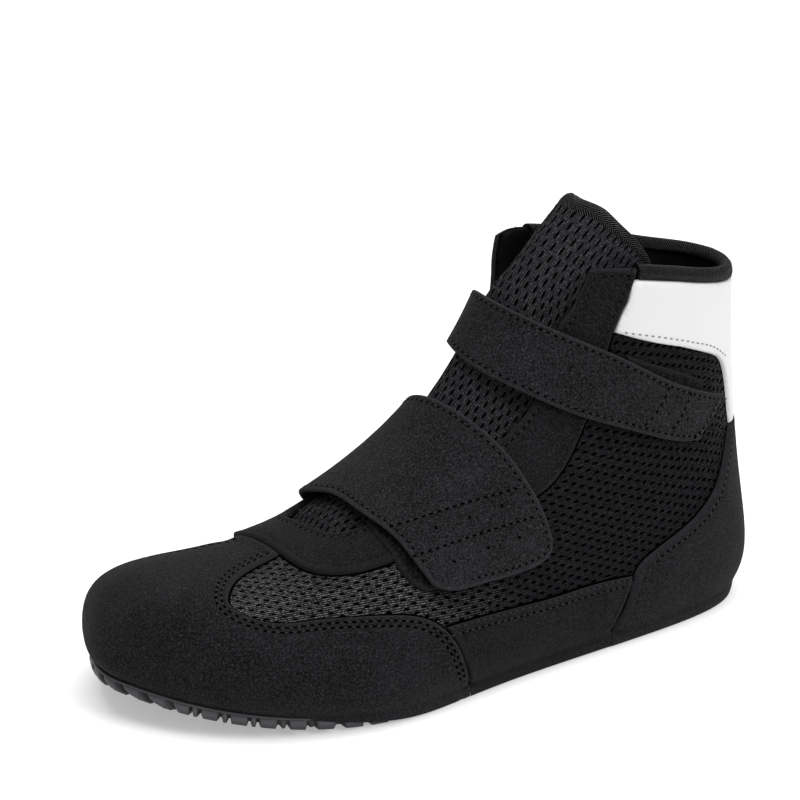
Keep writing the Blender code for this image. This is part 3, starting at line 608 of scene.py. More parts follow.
def folds(s, t):
    """How far the creases lift the face at each point."""
    t = (np.asarray(t, float) + 1) % 2 - 1
    p = face_point(s, t)
    out = np.zeros(len(p))
    for row in CREASES:
        c = dict(zip(CREASE_COLUMNS, row))
        k = np.linspace(0, 1, 24)
        spine = face_point(c["s0"] + (c["s1"] - c["s0"]) * k, c["t0"] + (c["t1"] - c["t0"]) * k)
        gone = np.linalg.norm(p[:, None] - spine[None], axis=2)
        nearest = gone.argmin(axis=1)
        fade = np.sin(np.pi * np.clip(k[nearest] * 0.9 + 0.05, 0, 1)) ** 0.7
        out += c["out"] * fade * np.exp(-(gone.min(axis=1) / c["wide"]) ** 2)
    return out


def develop(s_span, t_span, counts, start, turns):
    """Lays a patch of the last out flat: returns metres across and up for any s and t on it."""
    s = np.linspace(*s_span, counts[0])
    t = np.linspace(*t_span, counts[1])
    ss, tt = np.meshgrid(s, t, indexing="ij")
    p = face_point(ss, tt)
    q = start(t, p).copy()
    links = []
    for di, dj in ((1, 0), (0, 1), (1, 1), (1, -1)):
        a = (slice(0, counts[0] - di), slice(max(0, -dj), counts[1] - max(0, dj)))
        b = (slice(di, counts[0]), slice(max(0, dj), counts[1] - max(0, -dj)))
        links.append((a, b, np.linalg.norm(p[b] - p[a], axis=-1)))
    for _ in range(turns):
        move = np.zeros(q.shape)
        weight = np.zeros(q.shape[:2])
        for a, b, long in links:
            d = q[b] - q[a]
            now = np.maximum(np.linalg.norm(d, axis=-1), 1e-9)
            fix = d * ((1 - long / now) / 2)[..., None]
            move[a] += fix
            move[b] -= fix
            weight[a] += 1
            weight[b] += 1
        q += move / weight[..., None] * 1.2

    def at(s_in, t_in):
        i = np.clip((np.asarray(s_in) - s[0]) / (s[1] - s[0]), 0, counts[0] - 1.001)
        j = np.clip((np.asarray(t_in) - t[0]) / (t[1] - t[0]), 0, counts[1] - 1.001)
        i0 = i.astype(int)
        j0 = j.astype(int)
        u = (i - i0)[:, None]
        v = (j - j0)[:, None]
        low = q[i0, j0] * (1 - v) + q[i0, j0 + 1] * v
        high = q[i0 + 1, j0] * (1 - v) + q[i0 + 1, j0 + 1] * v
        return low * (1 - u) + high * u

    return at


def girth_of(p):
    """How far round each point of a grid is from the first one of its row."""
    girth = np.cumsum(np.linalg.norm(np.diff(p, axis=1), axis=2), axis=1)
    return np.concatenate([np.zeros((len(p), 1)), girth], axis=1)


def side_start(t, p):
    """A first flat layout of the side: x along, and the girth up and down from the widest line."""
    girth = girth_of(p)
    widest = np.abs(t - WIDEST_AT).argmin()
    up = p[:, widest:widest + 1, 2] + girth[:, widest:widest + 1] - girth
    return np.stack([p[..., 0], up], -1)


def tongue_start(t, p):
    """The same for the front: across from the ridge, and along the ridge."""
    across = girth_of(p)
    ridge = np.abs(t).argmin()
    long = np.cumsum(np.linalg.norm(np.diff(p[:, ridge], axis=0), axis=1))
    up = np.r_[0, long][:, None] + 0 * across
    return np.stack([across - across[:, ridge:ridge + 1], up], -1)


SIDE_MAP = develop((2.5, 16.5), (0.02, 0.90), (46, 40), side_start, RELAX_TURNS)
TONGUE_MAP = develop((5.0, 16.6), (-0.56, 0.56), (40, 29), tongue_start, RELAX_TURNS // 20)


def side_cloth(s, t):
    """The flat map of the upper: the outer side, and the inner one turned over."""
    t = (np.asarray(t, float) + 1) % 2 - 1
    flat = SIDE_MAP(s, np.abs(t))
    flat[:, 0] = np.where(t < 0, -flat[:, 0], flat[:, 0])
    return flat


def tongue_cloth(s, t):
    """The flat map of the tongue, whose knit runs across."""
    return TONGUE_MAP(s, t)[:, ::-1]


def rounded(d, radius):
    """A quarter circle: 0 at the edge and 1 from radius on."""
    x = np.clip(d / radius, 0, 1)
    return np.sqrt(1 - (1 - x) ** 2)


def value(rule, s, t):
    """A rule of s and t worked out, or a plain number once for each point."""
    return rule(s, t) if callable(rule) else np.full(len(s), float(rule))


def no_bend(p):
    """Leaves the points where they are."""
    return p


def flared(s, t, p):
    """The inner corner of the open collar stands away from the tongue."""
    t = (np.asarray(t, float) + 1) % 2 - 1
    share = ease((np.asarray(s) - 12.4) / 2.2) * ease((-t - 0.10) / 0.10)
    share = share * (1 - ease((-t - 0.34) / 0.20))
    return p + share[:, None] * np.array(FLARE)


def flattened(st, polar):
    """(s, t) points on a plane: in rows, or with polar round the tip of the toe."""
    if polar:
        r = np.exp(0.6 * st[:, 0]) - 1
        return np.stack([r * np.cos(np.pi * st[:, 1]), r * np.sin(np.pi * st[:, 1])], -1)
    return st * [STATION, HALF_GIRTH]


def tree_of_rim(rim, free):
    """The free parts of a rim as a search tree, or None where it has none."""
    rim3 = face_point(rim[:, 0], rim[:, 1])
    closed = np.vstack([rim3, rim3[:1]])
    lines = [denser(closed[i:i + 2], 5) for i in range(len(rim))
             if free[i] and free[(i + 1) % len(rim)]]
    return tree_of(np.vstack(lines)) if lines else None


def rings_beside(rim, free, free_tree, all_far, polar):
    """Points in lines beside the free parts of a rim, and how far in each one is."""
    if free_tree is None:
        return np.zeros((0, 2)), np.zeros(0)
    flat = flattened(rim, polar)
    following = np.roll(flat, -1, axis=0)
    area = np.sum(flat[:, 0] * following[:, 1] - following[:, 0] * flat[:, 1])
    around = np.vstack([rim[-1:], rim, rim[:1]])
    points = []
    in_from_rim = []
    for far in all_far:
        moved = ring(around, far, area > 0)[free]
        gone = distances(face_point(moved[:, 0], moved[:, 1]), free_tree)
        ok = (gone > far * NEAR_LINE) & inside(flat, flattened(moved, polar))
        points.append(moved[ok])
        in_from_rim.append(np.full(ok.sum(), far))
    return np.vstack(points), np.concatenate(in_from_rim)


def meshed(rim, free, step, high, all_far, polar, skirt):
    """A panel's points as (s, t), the rim first, its triangles, and how far in from the free
    parts of its rim each point is."""
    free_tree = tree_of_rim(rim, free)
    lines, lines_in = rings_beside(rim, free, free_tree, all_far, polar)
    grid = candidates(rim, step, polar)
    grid = grid[inside(flattened(rim, polar), flattened(grid, polar))]
    if free_tree is not None:
        gone = distances(face_point(grid[:, 0], grid[:, 1]), free_tree)
        grid = grid[gone > max(all_far) + step * 0.45]
    if skirt:
        ok = above_seat(lines, high)
        lines = lines[ok]
        lines_in = lines_in[ok]
        grid = grid[above_seat(grid, high)]
    rim3 = face_point(rim[:, 0], rim[:, 1])
    grid = grid[spread(face_point(grid[:, 0], grid[:, 1]), step * NEAR_POINT, rim3)]
    st = np.vstack([rim, lines, grid])
    tris = triangles(flattened(st, polar), len(rim))
    gone = np.full(len(st), 1.0)
    if free_tree is not None:
        gone = distances(face_point(st[:, 0], st[:, 1]), free_tree)
        gone[len(rim):len(rim) + len(lines)] = lines_in
        gone[:len(rim)][free] = 0
    return st, tris, gone


def welded(st, tris, polar, seam_closed):
    """The triangles with the points joined that fall together at the tip and, with seam_closed,
    on the line under the shoe. Also which points are used, and each point's new number."""
    same = {}
    number = []
    for i, (s, t) in enumerate(st):
        key = i
        if not polar and s < 1e-6:
            key = "tip"
        elif seam_closed and abs(abs(t) - 1) < 1e-6:
            key = "under %.4f" % s
        number.append(same.setdefault(key, i))
    tris = [tuple(number[i] for i in f) for f in tris]
    tris = [f for f in tris if len(set(f)) == 3]
    used = sorted({i for f in tris for i in f})
    order = {v: i for i, v in enumerate(used)}
    tris = [tuple(order[i] for i in f) for f in tris]
    return tris, used, [order.get(i) for i in number]


def lifted(edge, st, off, lift, creased):
    """Points of a panel off its face. The ones on the sole move to where that offset meets it."""
    s = st[:, 0].copy()
    t = st[:, 1].copy()
    seats = [i for i, e in enumerate(edge) if e[2] is not None]
    if seats:
        way = np.array([edge[i][2] for i in seats])
        side = np.array([edge[i][3] for i in seats], float)
        s[seats], t[seats] = seat_cut(way, side, off[seats], GAP)
    p = place(s, t, off + lift)
    return flared(s, t, p) if creased else p


def closed_faces(tris, n, last_kind):
    """The faces of a sheet with two faces of n points each and a band between their borders,
    and the number of each one's material."""
    border = {}
    for f in tris:
        for i in range(3):
            a = f[i]
            b = f[(i + 1) % 3]
            if (b, a) in border:
                del border[(b, a)]
            else:
                border[(a, b)] = 1
    under = [(f[2] + n, f[1] + n, f[0] + n) for f in tris]
    band_faces = [(b, a, a + n, b + n) for a, b in border]
    kinds = [0] * len(tris) + [last_kind] * len(under) + [0] * len(band_faces)
    return tris + under + band_faces, kinds


def sheet(name, edge, step, high, low, coats, radius=0.0008, two_faces=False, polar=False,
          rows=(), bead=0.0, cloth=None, bend=no_bend, creased=True, seam_closed=False,
          skirt=False, vamp_gloss_and_painted_glint=None):
    """A panel inside a closed edge. Its rim is rounded, its stitch rows sink in, and with
    two_faces it has an under face as well. With skirt its lower edge comes down over the side of
    the sole. coats are its materials, outside first."""
    rim = pairs(edge)
    free = np.array([e[2] is None and abs(abs(e[1]) - 1) > 1e-6 and e[0] > 1e-6 for e in edge])
    all_far = [radius * f for f in (0.1, 0.4, 1.0)]
    for row in rows:
        all_far += [row - GROOVE_WIDE, row, row + GROOVE_WIDE]
    st, tris, gone = meshed(rim, free, step, high, sorted(all_far), polar, skirt)
    tris, used, spot_of = welded(st, tris, polar, seam_closed)
    s = st[:, 0]
    t = st[:, 1]
    top = value(high, s, t)
    base = value(low, s, t)
    relief = np.zeros(len(s))
    for row in rows:
        relief -= GROOVE_DEEP * np.exp(-((gone - row) / (GROOVE_WIDE * 0.7)) ** 2)
    relief += bead * np.exp(-((gone - BEAD_IN) / BEAD_WIDE) ** 2)
    lift = folds(s, t) if creased else np.zeros(len(s))
    middle = (top + base) / 2 if two_faces else base
    outer = middle + (top - middle) * rounded(gone, radius) + relief
    points = bend(lifted(edge, st, outer, lift, creased))[used]
    faces = tris
    kinds = [0] * len(tris)
    pale = np.exp(-(gone[used] / PALE_EDGE) ** 2)
    copies = 1
    if two_faces:
        inner = middle - (middle - base) * rounded(gone, radius) - relief * 0.5
        points = np.vstack([points, bend(lifted(edge, st, inner, lift, creased))[used]])
        faces, kinds = closed_faces(tris, len(used), len(coats) - 1)
        copies = 2
    pale = np.tile(pale, copies)
    if skirt:
        normals = outward(s[used], t[used])
        more, strips = skirt_of(edge, spot_of[:len(rim)], tris, points, normals)
        points = np.vstack([points, more])
        faces = faces + strips
        kinds = kinds + [0] * len(strips)
        # The skirt rows get painted light, to lift the shade where the suede turns under.
        pale = np.r_[pale, np.full(len(more), SKIRT_PAINTED_LIGHT)]
    piece = new_mesh(name, points, faces, coats, kinds)
    mark(piece, "rim", pale)
    # The mark for the knit's painted glints and extra gloss on the vamp.
    if vamp_gloss_and_painted_glint:
        mark(piece, "vamp_gloss_and_painted_glint", np.tile(vamp_gloss_and_painted_glint(s, t)[used], copies))
    if cloth:
        give_uv(piece, np.tile(cloth(s, t)[used], (copies, 1)))
    return piece


def above_seat(st, high):
    """Which points of a panel's outside lie clear above its lower edge."""
    s = st[:, 0]
    t = st[:, 1]
    p = place(s, t, value(high, s, t))
    return p[:, 2] > seat(p[:, 0]) + GAP + SEAT_CLEAR


def skirt_share(way):
    """How far the suede comes down over the side of the sole: not at all round the toe."""
    return ease((np.asarray(way, float) - SKIRT_FROM) / SKIRT_WAYS)


def skirt_of(edge, spots, tris, out, normals):
    """The part of a panel below the top of the sole, as more points and faces."""
    sides = set()
    for f in tris:
        sides |= {(f[0], f[1]), (f[1], f[2]), (f[2], f[0])}
    more = []
    strips = []
    below = {}
    for i in range(len(edge)):
        a, b = spots[i - 1], spots[i]
        if edge[i - 1][2] is None or edge[i][2] is None or a is None or b is None:
            continue
        if max(skirt_share(edge[i - 1][2]), skirt_share(edge[i][2])) < 0.01:
            continue
        for spot, way in ((a, edge[i - 1][2]), (b, edge[i][2])):
            if spot in below:
                continue
            side_on = normals[spot] * [1, 1, 0]
            side_on = side_on / np.linalg.norm(side_on)
            below[spot] = [spot]
            for k in range(1, SKIRT_ROWS + 1):
                share = k / SKIRT_ROWS
                down = SKIRT_DROP * skirt_share(way) * share
                tuck = SKIRT_TUCK * skirt_share(way) * share ** 2
                below[spot].append(len(out) + len(more))
                more.append(out[spot] - [0, 0, down] - side_on * tuck)
        if (a, b) not in sides:
            a, b = b, a
        for k in range(SKIRT_ROWS):
            strips.append((below[b][k], below[a][k], below[a][k + 1], below[b][k + 1]))
    return np.array(more).reshape(-1, 3), strips


def ring(around, far, left):
    """The inner points of a closed rim moved in by a distance far along the face."""
    s = around[:, 0]
    t = around[:, 1]
    p = face_point(s, t)
    tangent = p[2:] - p[:-2]
    s = s[1:-1]
    t = t[1:-1]
    n = outward(s, t)
    inward = np.cross(n, tangent)
    along, round_it = slopes(s, t)
    flip = np.sum(np.cross(along, round_it) * n, axis=1)
    inward = inward * np.sign(flip)[:, None] * (1 if left else -1)
    inward = inward / np.maximum(np.linalg.norm(inward, axis=1, keepdims=True), 1e-12)
    moved = []
    for i in range(len(s)):
        jac = np.stack([along[i], round_it[i]], 1)
        step = np.linalg.lstsq(jac, inward[i] * far, rcond=None)[0]
        moved.append((s[i] + step[0], t[i] + step[1]))
    return np.array(moved)


def candidates(rim, step, polar):
    """Points on the last that are close enough together to choose from."""
    s_low, t_low = rim.min(axis=0)
    s_high, t_high = rim.max(axis=0)
    if polar:
        s_low, t_low, t_high = 0.0, -1.0, 1.0
    out = []
    s = max(s_low, 0.02)
    row = 0
    while s < s_high:
        t = np.linspace(t_low, t_high, 60)
        pace = np.linalg.norm(face_point(s + 0.02, t) - face_point(s, t), axis=1).max() / 0.02
        girth = np.linalg.norm(np.diff(face_point(s, t), axis=0), axis=1).sum()
        n = max(2, int(girth / (step * 0.9)))
        shift = 0.5 if row % 2 else 0.0
        out += [(s, t_low + (t_high - t_low) * (k + shift) / n) for k in range(n + 1)]
        s += step * 0.8 / pace
        row += 1
    return np.array(out)


def mark(piece, name, numbers):
    """Gives each vertex of a mesh a number, which its material reads."""
    layer = piece.data.attributes.new(name, "FLOAT", "POINT")
    layer.data.foreach_set("value", numbers.astype(np.float32))


def give_uv(piece, uv):
    """Gives a mesh its flat map, in metres, one value a vertex."""
    layer = piece.data.uv_layers.new(name="flat")
    corners = np.zeros(len(piece.data.loops), int)
    piece.data.loops.foreach_get("vertex_index", corners)
    layer.data.foreach_set("uv", uv[corners].astype(np.float32).ravel())


def new_mesh(name, points, faces, coats, kinds=None):
    mesh = bpy.data.meshes.new(name)
    mesh.from_pydata([tuple(p) for p in points], [], [tuple(int(i) for i in f) for f in faces])
    for coat in coats:
        mesh.materials.append(coat)
    if kinds is not None:
        mesh.polygons.foreach_set("material_index", np.array(kinds, np.int32))
    mesh.polygons.foreach_set("use_smooth", np.ones(len(mesh.polygons), bool))
    mesh.validate()
    mesh.update()
    piece = bpy.data.objects.new(name, mesh)
    bpy.context.scene.collection.objects.link(piece)
    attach(piece, "root")
    return piece


# Materials.


class Coat:
    """A material and the short calls that build its nodes."""

    def __init__(self, name, rough, sheen=0.0, specular=0.5):
        self.material = bpy.data.materials.new(name)
        self.material.use_nodes = True
        self.tree = self.material.node_tree
        self.shader = self.tree.nodes["Principled BSDF"]
        self.shader.inputs["Roughness"].default_value = rough
        self.shader.inputs["Sheen Weight"].default_value = sheen
        self.shader.inputs["Sheen Roughness"].default_value = 0.5
        self.shader.inputs["Specular IOR Level"].default_value = specular

    def link(self, value, socket):
        if isinstance(value, bpy.types.NodeSocket):
            self.tree.links.new(value, socket)
        else:
            socket.default_value = value

    def math(self, kind, a, b=0.0, c=0.0):
        node = self.tree.nodes.new("ShaderNodeMath")
        node.operation = kind
        for socket, value in zip(node.inputs, (a, b, c)):
            self.link(value, socket)
        return node.outputs[0]

    def add(self, a, b):
        return self.math("ADD", a, b)

    def times(self, a, b):
        return self.math("MULTIPLY", a, b)

    def smooth(self, value, low, high):
        node = self.tree.nodes.new("ShaderNodeMapRange")
        node.interpolation_type = "SMOOTHSTEP"
        self.link(value, node.inputs["Value"])
        node.inputs["From Min"].default_value = low
        node.inputs["From Max"].default_value = high
        return node.outputs["Result"]

    def flat(self):
        node = self.tree.nodes.new("ShaderNodeUVMap")
        node.uv_map = "flat"
        split = self.tree.nodes.new("ShaderNodeSeparateXYZ")
        self.tree.links.new(node.outputs["UV"], split.inputs[0])
        return split.outputs[0], split.outputs[1]

    def place(self):
        return self.tree.nodes.new("ShaderNodeTexCoord").outputs["Object"]

    def noise(self, scale, detail=2.0, rough=0.5, vector=None):
        node = self.tree.nodes.new("ShaderNodeTexNoise")
        node.inputs["Scale"].default_value = scale
        node.inputs["Detail"].default_value = detail
        node.inputs["Roughness"].default_value = rough
        self.tree.links.new(vector or self.place(), node.inputs["Vector"])
        return node.outputs["Fac"]

    def attribute(self, name):
        node = self.tree.nodes.new("ShaderNodeAttribute")
        node.attribute_name = name
        return node.outputs["Fac"]

    def blend(self, share, a, b):
        node = self.tree.nodes.new("ShaderNodeMix")
        node.data_type = "RGBA"
        self.link(share, node.inputs["Factor"])
        for socket, value in ((node.inputs["A"], a), (node.inputs["B"], b)):
            self.link((*value, 1) if isinstance(value, tuple) else value, socket)
        return next(o for o in node.outputs if o.type == "RGBA")

    def colour(self, value):
        self.link((*value, 1) if isinstance(value, tuple) else value,
                  self.shader.inputs["Base Color"])

    def rough(self, value):
        self.link(value, self.shader.inputs["Roughness"])

    def specular(self, value):
        self.link(value, self.shader.inputs["Specular IOR Level"])

    def bump(self, height, distance, strength=1.0):
        node = self.tree.nodes.new("ShaderNodeBump")
        node.inputs["Distance"].default_value = distance
        node.inputs["Strength"].default_value = strength
        self.tree.links.new(height, node.inputs["Height"])
        self.tree.links.new(node.outputs[0], self.shader.inputs["Normal"])


def suede_coat(name, dark, light):
    """Short nap: fine grain, a slow drift of shade, pale flecks, a paler cut edge, and painted
    light on the skirt over the sole.
    """
    coat = Coat(name, 0.9, sheen=0.02, specular=0.08)
    nap = coat.noise(1300, 3.0, 0.75)
    drift = coat.noise(45, 3.0, 0.6)
    fleck = coat.smooth(coat.noise(1300, 1.0, 0.5), 0.66, 0.76)
    tone = coat.add(coat.times(coat.smooth(nap, 0.42, 0.58), 0.80),
                    coat.times(coat.smooth(drift, 0.3, 0.7), 0.20))
    body = coat.blend(tone, dark, light)
    body = coat.blend(coat.times(fleck, 0.5), body, tuple(c * 2.6 for c in light))
    # The rim number is 1 at a cut edge, which is paler, and on the skirt it carries painted light.
    edge = coat.times(coat.attribute("rim"), 0.6)
    coat.colour(coat.blend(edge, body, tuple(c * 1.6 for c in light)))
    coat.bump(coat.add(coat.times(nap, 0.7), coat.times(drift, 0.3)), 0.0007)
    return coat.material


def knit_holes(coat, u, v, long, wide):
    """Two staggered grids of long holes: 1 in a hole and 0 on the threads."""
    holes = None
    for shift in (0.0, 0.5):
        axes = []
        for flat, pitch, size in ((u, KNIT_ACROSS, long), (v, KNIT_ALONG, wide)):
            share = coat.math("FRACT", coat.add(coat.math("DIVIDE", flat, pitch), shift))
            far = coat.times(coat.math("SUBTRACT", share, 0.5), pitch)
            axes.append(coat.math("DIVIDE", far, size))
        x, y = axes
        gone = coat.math("SQRT", coat.add(coat.times(x, x), coat.times(y, y)))
        hole = coat.math("SUBTRACT", 1.0, coat.smooth(gone, 0.55, 1.15))
        holes = hole if holes is None else coat.math("MAXIMUM", holes, hole)
    return holes


def knit_coat(name, hole_long, hole_wide, dark, light, ribs, fuzz, shiny):
    """Knitted mesh on the flat map: staggered holes, and threads between them that run in ribs,
    uneven by fuzz. Where the piece marks its vamp the threads are paler, a painted highlight, and
    glint more; shiny is how much they glint where that mark is 0."""
    coat = Coat(name, 0.42)
    u, v = coat.flat()
    holes = knit_holes(coat, u, v, hole_long, hole_wide)
    lines = coat.math("SINE", coat.times(v, 2 * math.pi / (KNIT_ALONG / 4)))
    lines = coat.times(coat.add(lines, 1.0), 0.5)
    strand = coat.smooth(coat.noise(1100, 3.0, 0.7), 0.30, 0.70)
    thread = coat.add(coat.times(lines, ribs), coat.times(strand, fuzz))
    thread = coat.add(thread, 1 - ribs - fuzz)
    solid = coat.math("SUBTRACT", 1.0, holes)
    height = coat.times(coat.add(coat.times(thread, 0.45), 0.55), solid)
    vamp_gloss_and_painted_glint = coat.attribute("vamp_gloss_and_painted_glint")
    # Painted highlight: on the vamp the threads are paler, standing in for the glints the lamps
    # raise there.
    bright = coat.blend(vamp_gloss_and_painted_glint, light, tuple(c * 1.6 for c in light))
    body = coat.blend(coat.times(thread, solid), dark, bright)
    coat.colour(coat.blend(holes, body, HOLE_BLACK))
    gloss = coat.times(solid, coat.add(coat.times(vamp_gloss_and_painted_glint, 0.70), shiny))
    coat.specular(coat.times(coat.smooth(thread, 0.70, 0.98), gloss))
    coat.bump(height, 0.0008)
    return coat.material


def tape_coat(name, dark, light):
    """Herringbone tape for the bindings: slanting ribs that turn at the middle."""
    coat = Coat(name, 0.45)
    u, v = coat.flat()
    slant = coat.add(u, coat.times(coat.math("ABSOLUTE", v), 0.9))
    wave = coat.math("SINE", coat.times(slant, 2 * math.pi / TAPE_RIB))
    rib = coat.times(coat.add(wave, 1.0), 0.5)
    strand = coat.noise(1400, 2.0, 0.6)
    tone = coat.add(coat.times(rib, 0.6), coat.times(strand, 0.4))
    coat.colour(coat.blend(coat.smooth(tone, 0.35, 0.75), dark, light))
    coat.specular(coat.times(coat.smooth(tone, 0.60, 0.80), 0.5))
    coat.bump(tone, 0.0005)
    return coat.material


def pile_coat(name, dark, light, edge):
    """The fuzzy loop side of the fastening."""
    coat = Coat(name, 1.0, specular=0.1)
    pile = coat.noise(800, 3.0, 0.7)
    body = coat.blend(coat.smooth(pile, 0.42, 0.72), dark, light)
    coat.colour(coat.blend(coat.times(coat.attribute("rim"), 0.6), body, edge))
    coat.bump(pile, 0.0012)
    return coat.material


def grained_coat(name, dark, light, scale, rough, specular, high, strength):
    """An even material whose one fine grain gives its shade and its bumps."""
    coat = Coat(name, rough, specular=specular)
    grain = coat.noise(scale, 2.0, 0.6)
    coat.colour(coat.blend(grain, dark, light))
    coat.bump(grain, high, strength)
    return coat.material


def white_coat(name, dark, light):
    """Smooth white coated leather with a faint grain."""
    coat = Coat(name, 0.42, specular=0.45)
    grain = coat.noise(650, 3.0, 0.55)
    coat.colour(coat.blend(coat.noise(30, 2.0, 0.5), dark, light))
    coat.bump(grain, 0.00012, 0.5)
    return coat.material


def rubber_coat(name, dark, light):
    """Matt black outsole rubber, a little dusty, paler or darker by its tone: paler along the lip
    and high on the block faces, and darker in the cuts, gaps and untreaded hollows, where the tone
    is painted shade.
    """
    coat = Coat(name, 0.5, specular=0.3)
    grain = coat.noise(1100, 2.0, 0.6)
    body = coat.blend(coat.smooth(coat.noise(60, 3.0, 0.6), 0.3, 0.75), dark, light)
    tone = coat.attribute("tone")
    body = coat.blend(coat.smooth(tone, 0.0, 1.6), body, (0.24, 0.24, 0.25))
    body = coat.blend(coat.smooth(tone, 0.0, -0.6), body, (0.003, 0.003, 0.004))
    coat.colour(body)
    coat.rough(coat.add(coat.times(grain, 0.2), 0.45))
    coat.bump(grain, 0.00015, 0.6)
    return coat.material


def speckled_coat(name, colour, rough):
    """One matt colour with a faint speckle, for the painted shade of the needle pits and of the
    shadow lines beside panel edges.
    """
    coat = Coat(name, rough, specular=0.0)
    coat.colour(coat.blend(coat.noise(1800, 1.0, 0.5), colour, tuple(c * 1.15 for c in colour)))
    return coat.material


HOLE_BLACK = (0.0003, 0.0003, 0.0004)
SUEDE_COAT = suede_coat("suede", (0.0004, 0.0004, 0.0006), (0.0138, 0.0138, 0.0156))
# A darker copy of the suede: painted shade for the eyestay, apron and rands, which lie in shadow.
PAINTED_SHADE_SUEDE_COAT = suede_coat("suede_painted_shade", (0.0003, 0.0003, 0.0004), (0.0100, 0.0100, 0.0114))
# A paler copy of the suede: painted light on the straps, which stand out toward the lamps.
STRAP_PAINTED_LIGHT_COAT = suede_coat("strap_suede_painted_light", (0.0005, 0.0005, 0.0007), (0.0172, 0.0172, 0.0192))
KNIT_COAT = knit_coat("side_knit", hole_long=0.00125, hole_wide=0.00055,
                      dark=(0.0003, 0.0003, 0.0004), light=(0.0086, 0.0086, 0.0098),
                      ribs=0.28, fuzz=0.30, shiny=0.12)
# The tongue's knit has its own longer holes and stronger ribs; its much paler threads are also
# painted light, for it faces the lamps while the side faces away.
TONGUE_COAT = knit_coat("tongue_knit", hole_long=0.00150, hole_wide=0.00048,
                        dark=(0.0008, 0.0008, 0.0010), light=(0.0290, 0.0290, 0.0320),
                        ribs=0.42, fuzz=0.45, shiny=0.45)
LINING_COAT = grained_coat("lining", (0.0006, 0.0006, 0.0007), (0.0036, 0.0036, 0.0040),
                           scale=2000, rough=0.9, specular=0.12, high=0.0002, strength=0.7)
INSOLE_COAT = grained_coat("insole_cloth", (0.010, 0.010, 0.011), (0.024, 0.024, 0.026),
                           scale=900, rough=0.9, specular=0.12, high=0.0002, strength=0.7)
THREAD_COAT = grained_coat("thread", (0.002, 0.002, 0.003), (0.016, 0.016, 0.018),
                           scale=2400, rough=0.5, specular=0.18, high=0.0002, strength=0.8)
TAPE_COAT = tape_coat("tape", (0.0004, 0.0004, 0.0005), (0.0085, 0.0085, 0.0095))
PILE_COAT = pile_coat("loop_pile", (0.0004, 0.0004, 0.0004), (0.012, 0.012, 0.013),
                      edge=(0.020, 0.020, 0.022))
WHITE_COAT = white_coat("white_panel", (0.53, 0.53, 0.535), (0.57, 0.57, 0.575))
RUBBER_COAT = rubber_coat("rubber", (0.022, 0.022, 0.026), (0.036, 0.035, 0.040))
# The needle pits are real holes, but their dark colour is painted shade; the first coat also paints
# the shadow lines beside panel edges.
PIT_AND_EDGE_SHADE_COAT = speckled_coat("pit_and_edge_painted_shade", (0.0006, 0.0006, 0.0006), 0.9)
WHITE_PANEL_PIT_SHADE_COAT = speckled_coat("white_panel_pit_painted_shade", (0.16, 0.16, 0.17), 0.8)


# Stitches, sewn details and painted shadow lines.


def along_line(at, d, points):
    """The places at lengths at on a line whose points lie at lengths d."""
    return np.stack([np.interp(at, d, points[:, k]) for k in range(3)], -1)


def walk_along(points, pitch):
    """Evenly spaced places on a line of 3-D points."""
    d = np.r_[0, np.cumsum(np.linalg.norm(np.diff(points, axis=0), axis=1))]
    n = max(1, int(round(d[-1] / pitch)))
    at = (np.arange(n) + 0.5) * d[-1] / n
    return along_line(at, d, points), at, d


# One stitch as rings round its thread: where each is as a share of the stitch, how wide it is as
# a share of the thread, and how high it lies.
THREAD_RINGS = ((-0.5, 0.35, -0.00022), (-0.36, 0.85, 0.00002), (0.0, 1.0, 0.00010),
                (0.36, 0.85, 0.00002), (0.5, 0.35, -0.00022))


